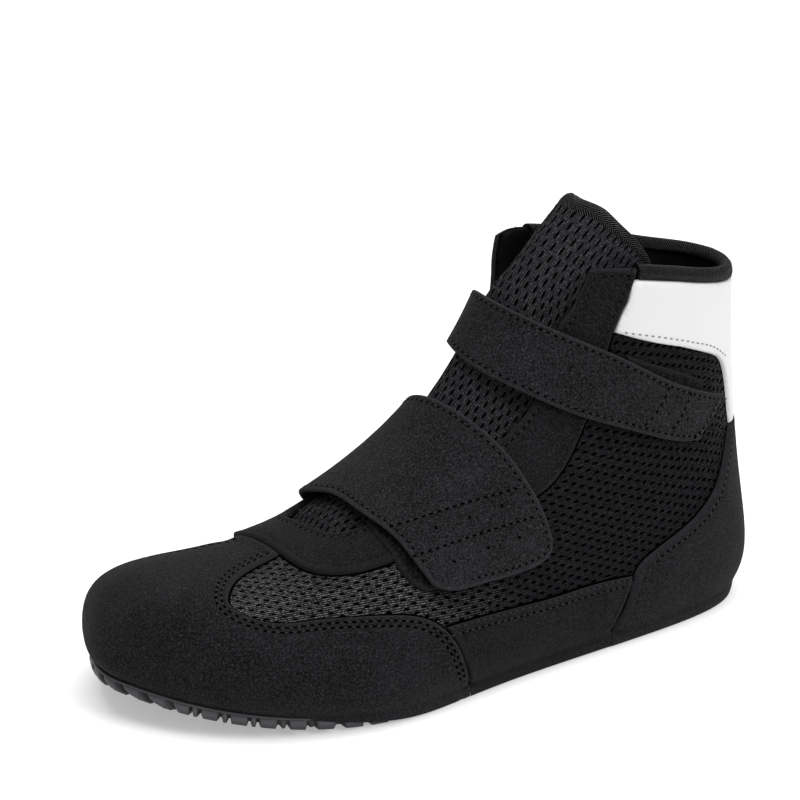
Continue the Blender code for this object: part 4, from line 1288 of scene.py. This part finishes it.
class Stitching:
    """Gathers threads, needle pits and painted shadow lines, then makes two meshes of them: the
    threads, and the dark marks, whose colour is painted shade.
    """

    def __init__(self):
        self.points = []
        self.faces = []
        self.shade_mark_points = []
        self.shade_mark_faces = []

    def row(self, path, off, pitch=STITCH_PITCH, turn=0.16, thread=True, size=1.0):
        """A row of stitches on the face at a distance off, along a line of (s, t) points. off is
        a number or a rule of s and t. turn slants the threads, and size is that of the pits."""
        path = np.asarray(path, float)[:, :2]
        if len(path) < 3:
            return
        s = path[:, 0]
        t = path[:, 1]
        height = value(off, s, t) + folds(s, t)
        low = flared(s, t, place(s, t, height - 0.0010))
        p = flared(s, t, place(s, t, height))
        middle, at, d = walk_along(p, pitch)
        normal = middle - along_line(at, d, low)
        normal = normal / np.linalg.norm(normal, axis=1, keepdims=True)
        way = along_line(at + pitch * 0.4, d, p) - along_line(at - pitch * 0.4, d, p)
        way = way / np.maximum(np.linalg.norm(way, axis=1, keepdims=True), 1e-12)
        across = np.cross(normal, way)
        for m, n, w, a in zip(middle, normal, way, across):
            if thread:
                self.thread(m, n, w + a * turn, a)
            self.pit(m + w * pitch / 2, n, w, a, size)

    def thread(self, middle, normal, way, across):
        first = len(self.points)
        sides = 6
        for share, w, h in THREAD_RINGS:
            c = middle + way * share * STITCH_LONG + normal * h
            for k in range(sides):
                angle = 2 * math.pi * k / sides
                self.points.append(c + (across * math.cos(angle) + normal * math.sin(angle) * 0.8)
                                   * STITCH_WIDE * w)
        for j in range(len(THREAD_RINGS) - 1):
            for k in range(sides):
                a = first + j * sides + k
                b = first + j * sides + (k + 1) % sides
                self.faces.append((a, b, b + sides, a + sides))
        self.faces.append(tuple(first + k for k in range(sides))[::-1])
        last = first + (len(THREAD_RINGS) - 1) * sides
        self.faces.append(tuple(last + k for k in range(sides)))

    # A needle pit: a dark disc over a real needle hole, its colour painted shade that falls in the
    # hole.
    def pit(self, middle, normal, way, across, size=1.0):
        first = len(self.shade_mark_points)
        sides = 8
        for k in range(sides):
            angle = 2 * math.pi * k / sides
            self.shade_mark_points.append(middle + normal * PIT_LIFT
                                   + way * math.cos(angle) * PIT_LONG * size
                                   + across * math.sin(angle) * PIT_WIDE * size)
        self.shade_mark_faces.append(tuple(first + k for k in range(sides)))

    def seam(self, path, wide):
        """A dark line of painted shadow on the cloth beside the edge of a panel, where the panel's
        edge would cast shade.
        """
        path = np.asarray(path, float)[:, :2]
        outer = shifted(path, wide)
        for line_of in (path, outer):
            height = SHADOW_LINE_LIFT + folds(line_of[:, 0], line_of[:, 1])
            self.shade_mark_points += list(place(line_of[:, 0], line_of[:, 1], height))
        n = len(path)
        first = len(self.shade_mark_points) - 2 * n
        for i in range(n - 1):
            a = first + i
            self.shade_mark_faces.append((a, a + 1, a + 1 + n, a + n))

    def spots(self, places, off_of, size):
        """Single pin holes at (s, t) places, dark with painted shade."""
        for s, t in places:
            s = np.array([s])
            t = np.array([t])
            along, _ = slopes(s, t)
            n = outward(s, t)[0]
            w = along[0] / np.linalg.norm(along[0])
            m = place(s, t, off_of(s, t))[0]
            self.pit(m, n, w * 0.7, np.cross(n, w) * 1.5, size)

    def finish(self, slot, pit=PIT_AND_EDGE_SHADE_COAT):
        if self.points:
            new_mesh(slot + "_threads", self.points, self.faces, [THREAD_COAT])
        if self.shade_mark_points:
            new_mesh(slot + "_painted_shade_marks", self.shade_mark_points, self.shade_mark_faces, [pit])


def inset_row(points, far, off, stitching, size=1.0):
    """A stitch row beside an edge, on the outer side and, mirrored, on the inner one."""
    edge = line(points)
    stitching.row(beside(pairs(edge), far), off, size=size)
    stitching.row(beside(pairs(mirrored(edge)), -far), off, size=size)


def painted_shadow_lines(points, wide, stitching):
    """The painted shadow line beside an edge, on the outer side and, mirrored, on the inner one."""
    edge = line(points)
    stitching.seam(pairs(edge), wide)
    stitching.seam(pairs(mirrored(edge)), -wide)


# Pieces.


def make_upper():
    step = CLOTH_STEP
    tip = [(0.0, t, None, 0) for t in np.linspace(-1, 1, 13)]
    heel_s = SEAT_S[1][-1]
    seat_out = seat_line(1, SEAT_S[1][0], heel_s, step)
    throat = line(THROAT, step)
    collar = line(COLLAR, step)
    heel = [(s, 1.0, None, 0) for s in np.linspace(heel_s, COLLAR[-1][0], 61)]
    half = seat_out + heel[1:-1] + collar[::-1] + throat[::-1][1:]
    edge = join(tip, half, mirrored(half)[::-1])

    def lining(s, t):
        """The inside, which is padded some way below the collar behind the ankle."""
        girth = np.abs((np.asarray(t) + 1) % 2 - 1)
        rim = np.interp(girth, [p[1] for p in COLLAR], [p[0] for p in COLLAR])
        down = (rim - s) * LINING_PACE
        first, full, last, gone = LINING_PAD_DOWN
        pad = ease((down - first) / (full - first)) * (1 - ease((down - last) / (gone - last)))
        return -SHELL_WALL - LINING_PAD * pad * ease((girth - 0.52) / 0.08)

    # The vamp's knit gets painted glints, fading out back from station 6.4.
    piece = sheet("knitted_upper", edge, step, 0.0, lining, [KNIT_COAT, LINING_COAT],
                  two_faces=True, cloth=side_cloth, seam_closed=True,
                  vamp_gloss_and_painted_glint=lambda s, t: 1 - ease((s - 6.4) / 2.4))
    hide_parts("upper")


def swollen(thick):
    """Top of a panel that stands a little fuller low on the side, above the skirt."""

    def high(s, t):
        p = face_point(s, t)
        low = np.clip(1 - (p[:, 2] - seat(p[:, 0])) / LOW_SWELL_HIGH, 0, 1)
        return thick + LOW_SWELL * low ** 2 * ease((s - 3.2) / 3.6)

    return high


def make_toe_cap():
    seat_out = seat_line(1, SEAT_S[1][0], CAP_SEAT_END, EDGE_STEP)
    half = seat_out + line(CAP_WINDOW)[::-1] + line(CAP_TOP)[::-1]
    edge = join(half, mirrored(half)[::-1])
    high = swollen(GAP + SUEDE)
    piece = sheet("suede_toe_cap", edge, SUEDE_STEP, high, 0.0, [SUEDE_COAT],
                  polar=True, rows=CAP_ROWS, skirt=True)
    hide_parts("toe_cap")
    sewn = Stitching()
    for far in CAP_ROWS:
        inset_row(CAP_WINDOW, -far, GAP + SUEDE - GROOVE_DEEP, sewn, CAP_PIT)
    painted_shadow_lines(CAP_WINDOW, SHADOW_LINE_WIDE, sewn)
    sewn.finish("toe_cap")


def make_eyestay():
    collar = [e for e in line(COLLAR) if e[1] < EYESTAY_COLLAR_END]
    half = line(APRON_FRONT) + collar[::-1] + line(THROAT)[::-1][1:]
    edge = join(half, mirrored(half)[::-1])
    piece = sheet("suede_eyestay", edge, SUEDE_STEP, GAP + SUEDE, 0.0, [PAINTED_SHADE_SUEDE_COAT],
                  rows=(EYESTAY_ROW,), bead=0.00055)
    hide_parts("eyestay")
    sewn = Stitching()
    deep = GAP + SUEDE - GROOVE_DEEP
    inset_row(APRON_FRONT[:9], APRON_ROW, deep, sewn)
    inset_row(APRON_FRONT[8:], EYESTAY_ROW, deep, sewn)
    painted_shadow_lines(APRON_FRONT, -SHADOW_LINE_WIDE, sewn)
    inset_row(THROAT, -EYESTAY_ROW, deep, sewn)
    inset_row([(e[0], e[1]) for e in collar[2:-2]], -EYESTAY_ROW, deep, sewn)
    sewn.finish("eyestay")


def make_rands():
    for name, side in (("side_rand_outer", 1), ("side_rand_inner", -1)):
        edge = join(line(RAND_TOP), line(RAND_BACK)[::-1][1:-1],
                    seat_line(1, *RAND_SEAT, EDGE_STEP)[::-1], line(RAND_FRONT)[::-1][1:-1])
        if side < 0:
            edge = mirrored(edge)
        high = swollen(GAP + SUEDE)
        piece = sheet("suede_" + name, edge, SUEDE_STEP, high, 0.0, [PAINTED_SHADE_SUEDE_COAT],
                      rows=(RAND_GROOVE,), skirt=True)
        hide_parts(name)
        sewn = Stitching()
        top, back = (pairs(path if side > 0 else mirrored(path))
                     for path in (line(RAND_TOP), line(RAND_BACK)))
        for far in RAND_ROWS:
            sewn.row(beside(top, -side * far), GAP + SUEDE - GROOVE_DEEP)
        sewn.seam(top, side * SHADOW_LINE_WIDE)
        sewn.seam(back, side * SHADOW_LINE_WIDE)
        sewn.finish(name)


def make_counter():
    low = seat_line(1, COUNTER_SEAT_START, SEAT_S[1][-1], EDGE_STEP)
    half = line(COUNTER_TOP)[::-1] + line(COUNTER_FRONT)[::-1][1:] + low
    edge = join(half, unwrapped(mirrored(half))[::-1])
    piece = sheet("suede_heel_counter", edge, SUEDE_STEP, swollen(GAP + COUNTER_SUEDE), 0.0,
                  [SUEDE_COAT], radius=0.0010, rows=(COUNTER_ROW,), skirt=True)
    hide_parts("heel_counter")
    sewn = Stitching()
    deep = GAP + COUNTER_SUEDE - GROOVE_DEEP
    inset_row(COUNTER_FRONT[3:], -COUNTER_ROW, deep, sewn, COUNTER_PIT)
    painted_shadow_lines(COUNTER_FRONT, SHADOW_LINE_WIDE, sewn)
    sewn.finish("heel_counter")


def lowered(edge, far):
    """An edge moved down the ankle by a distance far."""
    s = np.array([e[0] for e in edge])
    t = np.array([e[1] for e in edge])
    pace = pace_of(s, t)
    return [(s[i] - far / pace[i], t[i], None, 0) for i in range(len(edge))]


def make_heel_panel():
    base = [(e[0] + SEAM / STATION, e[1], None, 0) for e in line(COUNTER_TOP)]
    collar = [e for e in line(COLLAR) if e[1] > PANEL_COLLAR_START]
    high = lowered(collar, TAPE_HIGH + PANEL_GAP)
    beside_eyestay = shifted([e[:2] for e in line(APRON_FRONT) if e[0] > 13.5], -PANEL_GAP)
    front = [tuple(p) for p in beside_eyestay if 13.68 < p[0] < high[0][0] - 0.06]
    front = line([high[0][:2]] + front[::-1][::6] + [front[0]])
    half = high[::-1] + front[1:] + line((front[-1][:2],) + HEEL_PANEL_LOW[1:])[1:] + base[1:]
    edge = join(half, unwrapped(mirrored(half))[::-1])
    piece = sheet("white_heel_panel", edge, SUEDE_STEP, GAP + PANEL_SEEN, 0.0,
                  [WHITE_COAT], radius=0.0006)
    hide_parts("heel_panel")
    sewn = Stitching()
    edge_line = line(HEEL_PANEL_LOW[:5])
    for path, far in ((edge_line, HEEL_PANEL_ROW), (mirrored(edge_line), -HEEL_PANEL_ROW)):
        sewn.row(beside(pairs(path), far), GAP + PANEL_SEEN, HEEL_PANEL_PITCH, thread=False)
    sewn.finish("heel_panel", WHITE_PANEL_PIT_SHADE_COAT)


def tongue_face(s, t):
    """Outer face of the tongue: under the upper at its sides, bulging in the open throat."""
    middle = -MIDLINE * (1 - ease((s - MIDLINE_UNTIL[0]) / (MIDLINE_UNTIL[1] - MIDLINE_UNTIL[0])))
    rise = TONGUE_BULGE * ease((s - 6.1) / 2.2) * (1 - ease((np.abs(t) - 0.02) / 0.16))
    front = TONGUE_FRONT * ease((s - 6.0) / 0.5) * (1 - ease((np.abs(t - middle) - 0.07) / 0.07))
    rise = np.maximum(rise, front)
    tuck = 0.0017 * ease((np.abs(t) - 0.28) / 0.10)
    aside = TONGUE_ASIDE * ease((0.06 - t) / 0.16) * ease((s - 12.2) / 2.0)
    return -(SHELL_WALL + 2 * GAP) + rise - tuck - aside


def tongue_lean(p):
    """The empty shoe's tongue leans back above the collar."""
    share = np.clip((p[:, 2] - LEAN_FROM) / (TOP - LEAN_FROM), 0, 1.2)
    p = p.copy()
    p[:, 0] -= TONGUE_LEAN_SEEN * share ** 2
    return p


def make_tongue():
    half = line(TONGUE_SIDE) + line(TONGUE_TOP)[1:]
    edge = join(half, mirrored(half)[::-1])

    def back(s, t):
        return tongue_face(s, t) - TONGUE_THICK

    piece = sheet("padded_tongue", edge, CLOTH_STEP, tongue_face, back,
                  [TONGUE_COAT, LINING_COAT], radius=0.0021, two_faces=True, cloth=tongue_cloth,
                  bend=tongue_lean, creased=False)
    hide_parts("tongue")
    top = line(TONGUE_TOP, 0.0012)
    path = pairs(top + mirrored(top)[::-1][1:])
    s = path[:, 0]
    t = path[:, 1]
    middle = tongue_face(s, t) - TONGUE_THICK / 2
    rings = []
    for angle in np.linspace(0, 2 * math.pi, 12, endpoint=False):
        up = TONGUE_TAPE_HIGH * math.cos(angle) - TONGUE_TAPE_LOWER
        full = np.sign(math.sin(angle)) * abs(math.sin(angle)) ** 0.7
        off = middle + (TONGUE_THICK / 2 + TONGUE_TAPE_OUT) * full
        rings.append(tongue_lean(place(s + up / pace_of(s, t), t, off)))
    tube("tongue_binding", rings, [TAPE_COAT], 0.019)


def tube(name, rings, coats, round_it):
    """A closed tube through rings of points, with its flat map for the tape's ribs."""
    n = len(rings[0])
    k = len(rings)
    points = np.vstack(rings)
    middle = np.mean(rings, axis=0)
    along = np.r_[0, np.cumsum(np.linalg.norm(np.diff(middle, axis=0), axis=1))]
    faces = []
    for j in range(k):
        for i in range(n - 1):
            a = j * n + i
            b = ((j + 1) % k) * n + i
            faces.append((a, a + 1, b + 1, b))
    faces.append(tuple(j * n for j in range(k))[::-1])
    faces.append(tuple(j * n + n - 1 for j in range(k)))
    piece = new_mesh(name, points, faces, coats)
    v = np.repeat((np.arange(k) / k - 0.25) * round_it, n)
    give_uv(piece, np.stack([np.tile(along, k), v], -1))
    return piece


def make_binding():
    start = line(COLLAR, 0.0004)
    first = min(start, key=lambda e: abs(e[1] - BINDING_FROM))
    half = [first] + [e for e in line(COLLAR, 0.0016) if e[1] > BINDING_FROM + 0.006]
    path = half + unwrapped(mirrored(half[:-1]))[::-1]
    s = np.array([e[0] for e in path])
    t = np.array([e[1] for e in path])
    pace = pace_of(s, t)
    outer = 2 * GAP + BINDING_THICK
    inner = -SHELL_WALL - GAP - BINDING_THICK
    top = GAP + BINDING_THICK
    half_wide = (outer - inner) / 2
    middle = (outer + inner) / 2
    profile = [(outer - 0.0008, -TAPE_HIGH), (outer - 0.0002, -TAPE_HIGH + 0.0005),
               (outer, -TAPE_HIGH + 0.0013), (outer, -0.0018)]
    for angle in np.linspace(0, math.pi, 7)[1:-1]:
        profile.append((middle + half_wide * math.cos(angle),
                        -0.0018 + (top + 0.0018) * math.sin(angle)))
    profile += [(inner, -0.0018), (inner + 0.0002, -TAPE_HIGH_INSIDE + 0.0004),
                (inner + 0.0008, -TAPE_HIGH_INSIDE), (0.0, -TAPE_HIGH + 0.0010)]
    rings = [flared(s, t, place(s + up / pace, t, off + folds(s, t))) for off, up in profile]
    piece = tube("collar_tape", rings, [TAPE_COAT], 0.020)
    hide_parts("collar_binding")


def strap_base(s, t):
    """Under face of a strap: it stands off over the tongue and lies on the sides."""
    share = 1 - ease((np.abs(t) - 0.10) / 0.22)
    return STRAP_ON_SIDE + (STRAP_ON_FRONT - STRAP_ON_SIDE) * share


def strap_face(s, t):
    """Outer face of a strap."""
    return strap_base(s, t) + STRAP_THICK


def strap_thread(s, t):
    """Where the threads of a strap's border lie, a little sunk in."""
    return strap_face(s, t) - GROOVE_DEEP * 0.6


def make_strap(name, borders, row, radius, seams_across, dots, dot_size):
    """A strap with two faces inside its borders (each with the way its row lies from it), the
    stitched rows across its hook field, and the dots where the hooks are tacked."""
    edge = join(*[path if way < 0 else path[::-1] for path, way in borders])
    piece = sheet("suede_" + name, edge, STRAP_STEP, strap_face, strap_base, [STRAP_PAINTED_LIGHT_COAT],
                  radius=radius, two_faces=True, rows=(row,), creased=False)
    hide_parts(name)
    sewn = Stitching()
    for path, way in borders:
        sewn.row(beside(pairs(path), way * row), strap_thread)
    for ends in seams_across:
        sewn.row(pairs(line(ends, 0.001)), strap_face, turn=0.0, size=HOOK_PIT)
    sewn.spots(dots, strap_face, dot_size)
    sewn.finish(name)


def make_straps():
    make_strap("ankle_strap", ((line(ANKLE_HIGH), -1), (line(ANKLE_LOW), 1)), ANKLE_ROW, 0.0007,
               ANKLE_SEAMS, ANKLE_DOTS, ANKLE_DOT)
    make_strap("instep_strap", ((line(INSTEP_HIGH), -1), (line(INSTEP_END), -1),
                                (line(INSTEP_LOW), 1)), INSTEP_ROW, 0.0008, INSTEP_SEAMS,
               INSTEP_DOTS, INSTEP_DOT)


def pad_face(s, t):
    """Top of a loop pad, which lies over the suede where it reaches in front of the throat."""
    return GAP + PAD_THICK + SUEDE * (1 - ease((t - 0.20) / 0.05))


def make_pads():
    for name, corners in (("ankle_loop_pad", ANKLE_PAD), ("instep_loop_pad", INSTEP_PAD)):
        edge = []
        for i in range(len(corners)):
            edge += line((corners[i - 1], corners[i]))[:-1]
        piece = sheet("pile_" + name, edge, SUEDE_STEP, pad_face, 0.0, [PILE_COAT],
                      radius=0.0006)
        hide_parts(name)


def sole_rim(step):
    """The sole's outline seen from above as close points, with the way and distance of each."""
    parts = []
    for side in (1, -1):
        off = SOLE_OUT_TOE + (SOLE_OUT_SIDE - SOLE_OUT_TOE) * skirt_share(WAYS)
        s, t = seat_cut(WAYS, side, off, 0.0)
        parts.append(np.c_[place(s, t, off)[:, :2], WAYS])
    loop = np.vstack([parts[0], parts[1][::-1][1:]])
    d = np.r_[0, np.cumsum(np.linalg.norm(np.diff(loop[:, :2], axis=0), axis=1))]
    n = int(d[-1] / step)
    at = np.arange(n) * d[-1] / n
    rim = along_line(at, d, loop)
    tangent = np.roll(rim[:, :2], -4, axis=0) - np.roll(rim[:, :2], 4, axis=0)
    tangent = tangent / np.linalg.norm(tangent, axis=1, keepdims=True)
    out = np.c_[tangent[:, 1], -tangent[:, 0]]
    return rim[:, :2], out, rim[:, 2], at, d[-1]


def toward_middle(rim, points, deep):
    """Points moved in from the sole's outline toward its middle line."""
    x = np.clip(points[:, 0], 0.13 * LENGTH - ORIGIN_X, 0.80 * LENGTH - ORIGIN_X)
    half = len(rim) // 2
    outer = rim[:half][::-1]
    inner = rim[half:]
    y = (np.interp(x, outer[:, 0], outer[:, 1]) + np.interp(x, inner[:, 0], inner[:, 1])) / 2
    to = np.stack([x, y], -1) - points
    return points + to / np.linalg.norm(to, axis=1, keepdims=True) * deep


def band(p, first, last, soft=0.04):
    """1 between two shares of a pitch and 0 elsewhere."""
    return ease((p - first) / soft + 0.5) * (1 - ease((p - last) / soft + 0.5))


def carved(at, pitch, v, way):
    """How deep the rim is cut: leaning scoops round the toe, then pairs of narrow gaps, and
    single gaps under the skirt."""
    toe = 1 - ease((way - 0.62) / 0.12)
    side = ease((way - 1.05) / 0.25)
    lean = at / pitch - SCOOP_LEAN * v * v * toe
    p = lean % 1
    scoop = band(p, 0.56, 0.90, 0.10) * (0.45 + 0.55 * band(p, 0.70, 0.90, 0.12))
    pair = np.maximum(band(p, 0.48, 0.60), band(p, 0.78, 0.90))
    gap = band(p, 0.55, 0.85)
    return toe * scoop + (1 - toe) * ((1 - side) * pair + side * gap)


def make_outsole():
    rim, out, way, at, total = sole_rim(RIM_STEP)
    n = len(rim)
    pitch = total / round(total / LUG_PITCH)
    top = seat(rim[:, 0])
    high = SOLE_SHEET + LUG_DEPTH
    rings = []
    shade = []
    for inward, down, tone in SOLE_LIP:
        rings.append(np.c_[rim - out * inward, top - down])
        shade.append(np.full(n, tone))
    lip = SOLE_LIP[-1][1]
    for v in np.linspace(0.0, 1.0, 9):
        cut = carved(at, pitch, v, way)
        belly = SOLE_BELLY * math.sin(math.pi * v)
        inward = SOLE_LIP[-1][0] - belly + cut * SCOOP_DEEP * min(1.0, 0.35 + v)
        down = lip + (high - lip) * v - cut * v ** 2 * LUG_DEPTH * 0.6
        rings.append(np.c_[rim - out * inward[:, None], top - down])
        # Painted shade darkens the cuts; the faces are paler high up, fading to plain lower down.
        shade.append(0.35 * math.sin(math.pi * min(1, v + 0.2)) * (1 - cut) - 0.9 * cut)
    groove = carved(at, pitch, 1.0, way)
    share = (rim[:, 0] + ORIGIN_X) / LENGTH
    waist = ease((share - HEEL_TREAD_TO) / 0.03) * (1 - ease((share - FOREFOOT_TREAD_FROM) / 0.03))
    reach = LUG_REACH - (LUG_REACH - WAIST_REACH) * waist
    for far in UNDER_ROWS:
        spot = toward_middle(rim, rim, far)
        solid = (1 - groove) * (1 - ease((far - reach) / 0.0008 + 0.5))
        rings.append(np.c_[spot, top - SOLE_SHEET - LUG_DEPTH * solid])
        # Painted shade darkens the gaps between the lugs.
        shade.append(-0.4 * (1 - solid))
    points = np.vstack(rings)
    faces = []
    k = np.arange(n)
    for j in range(len(rings) - 1):
        a = j * n + k
        b = j * n + (k + 1) % n
        faces += list(zip(b, a, a + n, b + n))
    tones = np.concatenate(shade)
    last = (len(rings) - 1) * n
    points, faces, tones = fill_under(points, faces, tones, np.arange(0, n, 3) + last, True)
    points, faces, tones = fill_under(points, faces, tones, np.arange(0, n, 3), False)
    piece = new_mesh("rubber_outsole", points, faces, [RUBBER_COAT])
    mark(piece, "tone", tones)
    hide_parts("outsole")


def fill_under(points, faces, tones, border, under):
    """Closes the sole inside a ring of its points: pads of tread below, a plain sheet on top."""
    border = [int(i) for i in border]
    loop = points[border][:, :2]
    grid = plan_grid(loop, 0.0016 if under else 0.008)
    flat = np.vstack([loop, grid])
    tris = triangles(flat, len(loop))
    z = seat(grid[:, 0])
    tone = np.zeros(len(grid))
    if under:
        share = (grid[:, 0] + ORIGIN_X) / LENGTH
        tread = ease((share - FOREFOOT_TREAD_FROM - 0.03) / 0.01)
        tread += 1 - ease((share - HEEL_TREAD_TO + 0.03) / 0.01)
        gone = distances(np.c_[grid, 0 * z], tree_of(np.c_[loop, np.zeros(len(loop))]))
        tread = tread * ease((gone - 0.0015) / 0.0010)
        wave = np.sin(2 * np.pi * grid[:, 0] / TREAD_RIB + 5 * np.abs(grid[:, 1]) / 0.02)
        z = z - SOLE_SHEET - LUG_DEPTH * tread * (0.45 + 0.35 * ease(wave + 0.5))
        # Painted shade darkens the underside where it has no tread.
        tone = -0.3 * (1 - tread)
    new = np.array(border + list(range(len(points), len(points) + len(grid))))
    order = (2, 1, 0) if under else (0, 1, 2)
    faces = faces + [tuple(new[f[i]] for i in order) for f in tris]
    return np.vstack([points, np.c_[grid, z]]), faces, np.r_[tones, tone]


def plan_grid(loop, step):
    """Points inside an outline seen from above, clear of its edge."""
    xs = np.arange(loop[:, 0].min(), loop[:, 0].max(), step)[1:]
    ys = np.arange(loop[:, 1].min(), loop[:, 1].max(), step)[1:]
    grid = np.array([(x, y + (i % 2) * step / 2) for i, x in enumerate(xs) for y in ys])
    grid = grid[inside(loop, grid)]
    tree = tree_of(np.c_[loop, np.zeros(len(loop))])
    return grid[distances(np.c_[grid, np.zeros(len(grid))], tree) > 0.6 * step]


def dress_nodes():
    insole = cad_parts["insole"]
    insole.data.materials.clear()
    insole.data.materials.append(INSOLE_COAT)


make_outsole()
make_upper()
make_toe_cap()
make_eyestay()
make_rands()
make_counter()
make_heel_panel()
make_binding()
make_tongue()
make_pads()
make_straps()
dress_nodes()

# Floor, light and camera.

FLOOR_SIZE = 12.0
FLOOR_Z = -0.0001
FLOOR_GLOW = 0.36
TURN = math.radians(35.5)
TILT = math.radians(21.0)
ROLL = math.radians(0.28)
DISTANCE = 1.085
LENS = 129.9
AIM = Vector((0.14 - ORIGIN_X, 0, 0.06))
SHIFT = (-0.0468, 0.1153)
SKY = 0.50
LIGHT_COLUMNS = ("name", "stands", "aims", "size", "power")
LIGHTS = (
    ("top", (0.15, 0.1, 1.5), (0.1, 0, 0.05), (1.5, 1.2), 24),
    ("key", (-0.25, 1.35, 0.95), (0.1, 0, 0.06), (0.7, 0.7), 13),
    ("back", (-0.9, -0.9, 1.0), (0.05, 0, 0.08), (0.8, 0.8), 5),
)


def make_floor():
    coat = Coat("floor", 0.9, specular=0.2)
    speck = coat.noise(3, 2.0, 0.5)
    coat.colour(coat.blend(speck, (0.66, 0.66, 0.66), (0.68, 0.68, 0.68)))
    coat.shader.inputs["Emission Color"].default_value = (1, 1, 1, 1)
    coat.shader.inputs["Emission Strength"].default_value = FLOOR_GLOW
    mesh = bpy.data.meshes.new("floor")
    r = FLOOR_SIZE / 2
    corners = [(-r, -r, FLOOR_Z), (r, -r, FLOOR_Z), (r, r, FLOOR_Z), (-r, r, FLOOR_Z)]
    mesh.from_pydata(corners, [], [(0, 1, 2, 3)])
    mesh.materials.append(coat.material)
    floor = bpy.data.objects.new("floor", mesh)
    bpy.context.scene.collection.objects.link(floor)


def make_light():
    world = bpy.data.worlds.new("studio")
    world.use_nodes = True
    sky = world.node_tree.nodes["Background"]
    sky.inputs["Color"].default_value = (1, 1, 1, 1)
    sky.inputs["Strength"].default_value = SKY
    bpy.context.scene.world = world
    for row in LIGHTS:
        c = dict(zip(LIGHT_COLUMNS, row))
        light = bpy.data.lights.new(c["name"], "AREA")
        light.shape = "RECTANGLE"
        light.size, light.size_y = c["size"]
        light.energy = c["power"]
        lamp = bpy.data.objects.new(c["name"], light)
        lamp.location = c["stands"]
        lamp.rotation_mode = "QUATERNION"
        way = Vector(c["aims"]) - Vector(c["stands"])
        lamp.rotation_quaternion = way.to_track_quat("-Z", "Y")
        bpy.context.scene.collection.objects.link(lamp)


def make_camera():
    data = bpy.data.cameras.new("camera")
    data.sensor_width = 36
    data.lens = LENS
    data.shift_x, data.shift_y = SHIFT
    data.clip_start = 0.05
    data.clip_end = 50
    camera = bpy.data.objects.new("camera", data)
    back = Vector((math.sin(TURN) * math.cos(TILT), math.cos(TURN) * math.cos(TILT),
                   math.sin(TILT)))
    level = Vector((-math.cos(TURN), math.sin(TURN), 0))
    upright = back.cross(level)
    right = level * math.cos(ROLL) + upright * math.sin(ROLL)
    up = upright * math.cos(ROLL) - level * math.sin(ROLL)
    camera.location = AIM + back * DISTANCE
    camera.rotation_mode = "QUATERNION"
    camera.rotation_quaternion = Matrix((right, up, back)).transposed().to_quaternion()
    bpy.context.scene.collection.objects.link(camera)
    bpy.context.scene.camera = camera


make_floor()
make_light()
make_camera()
bpy.context.scene.view_settings.view_transform = "Standard"
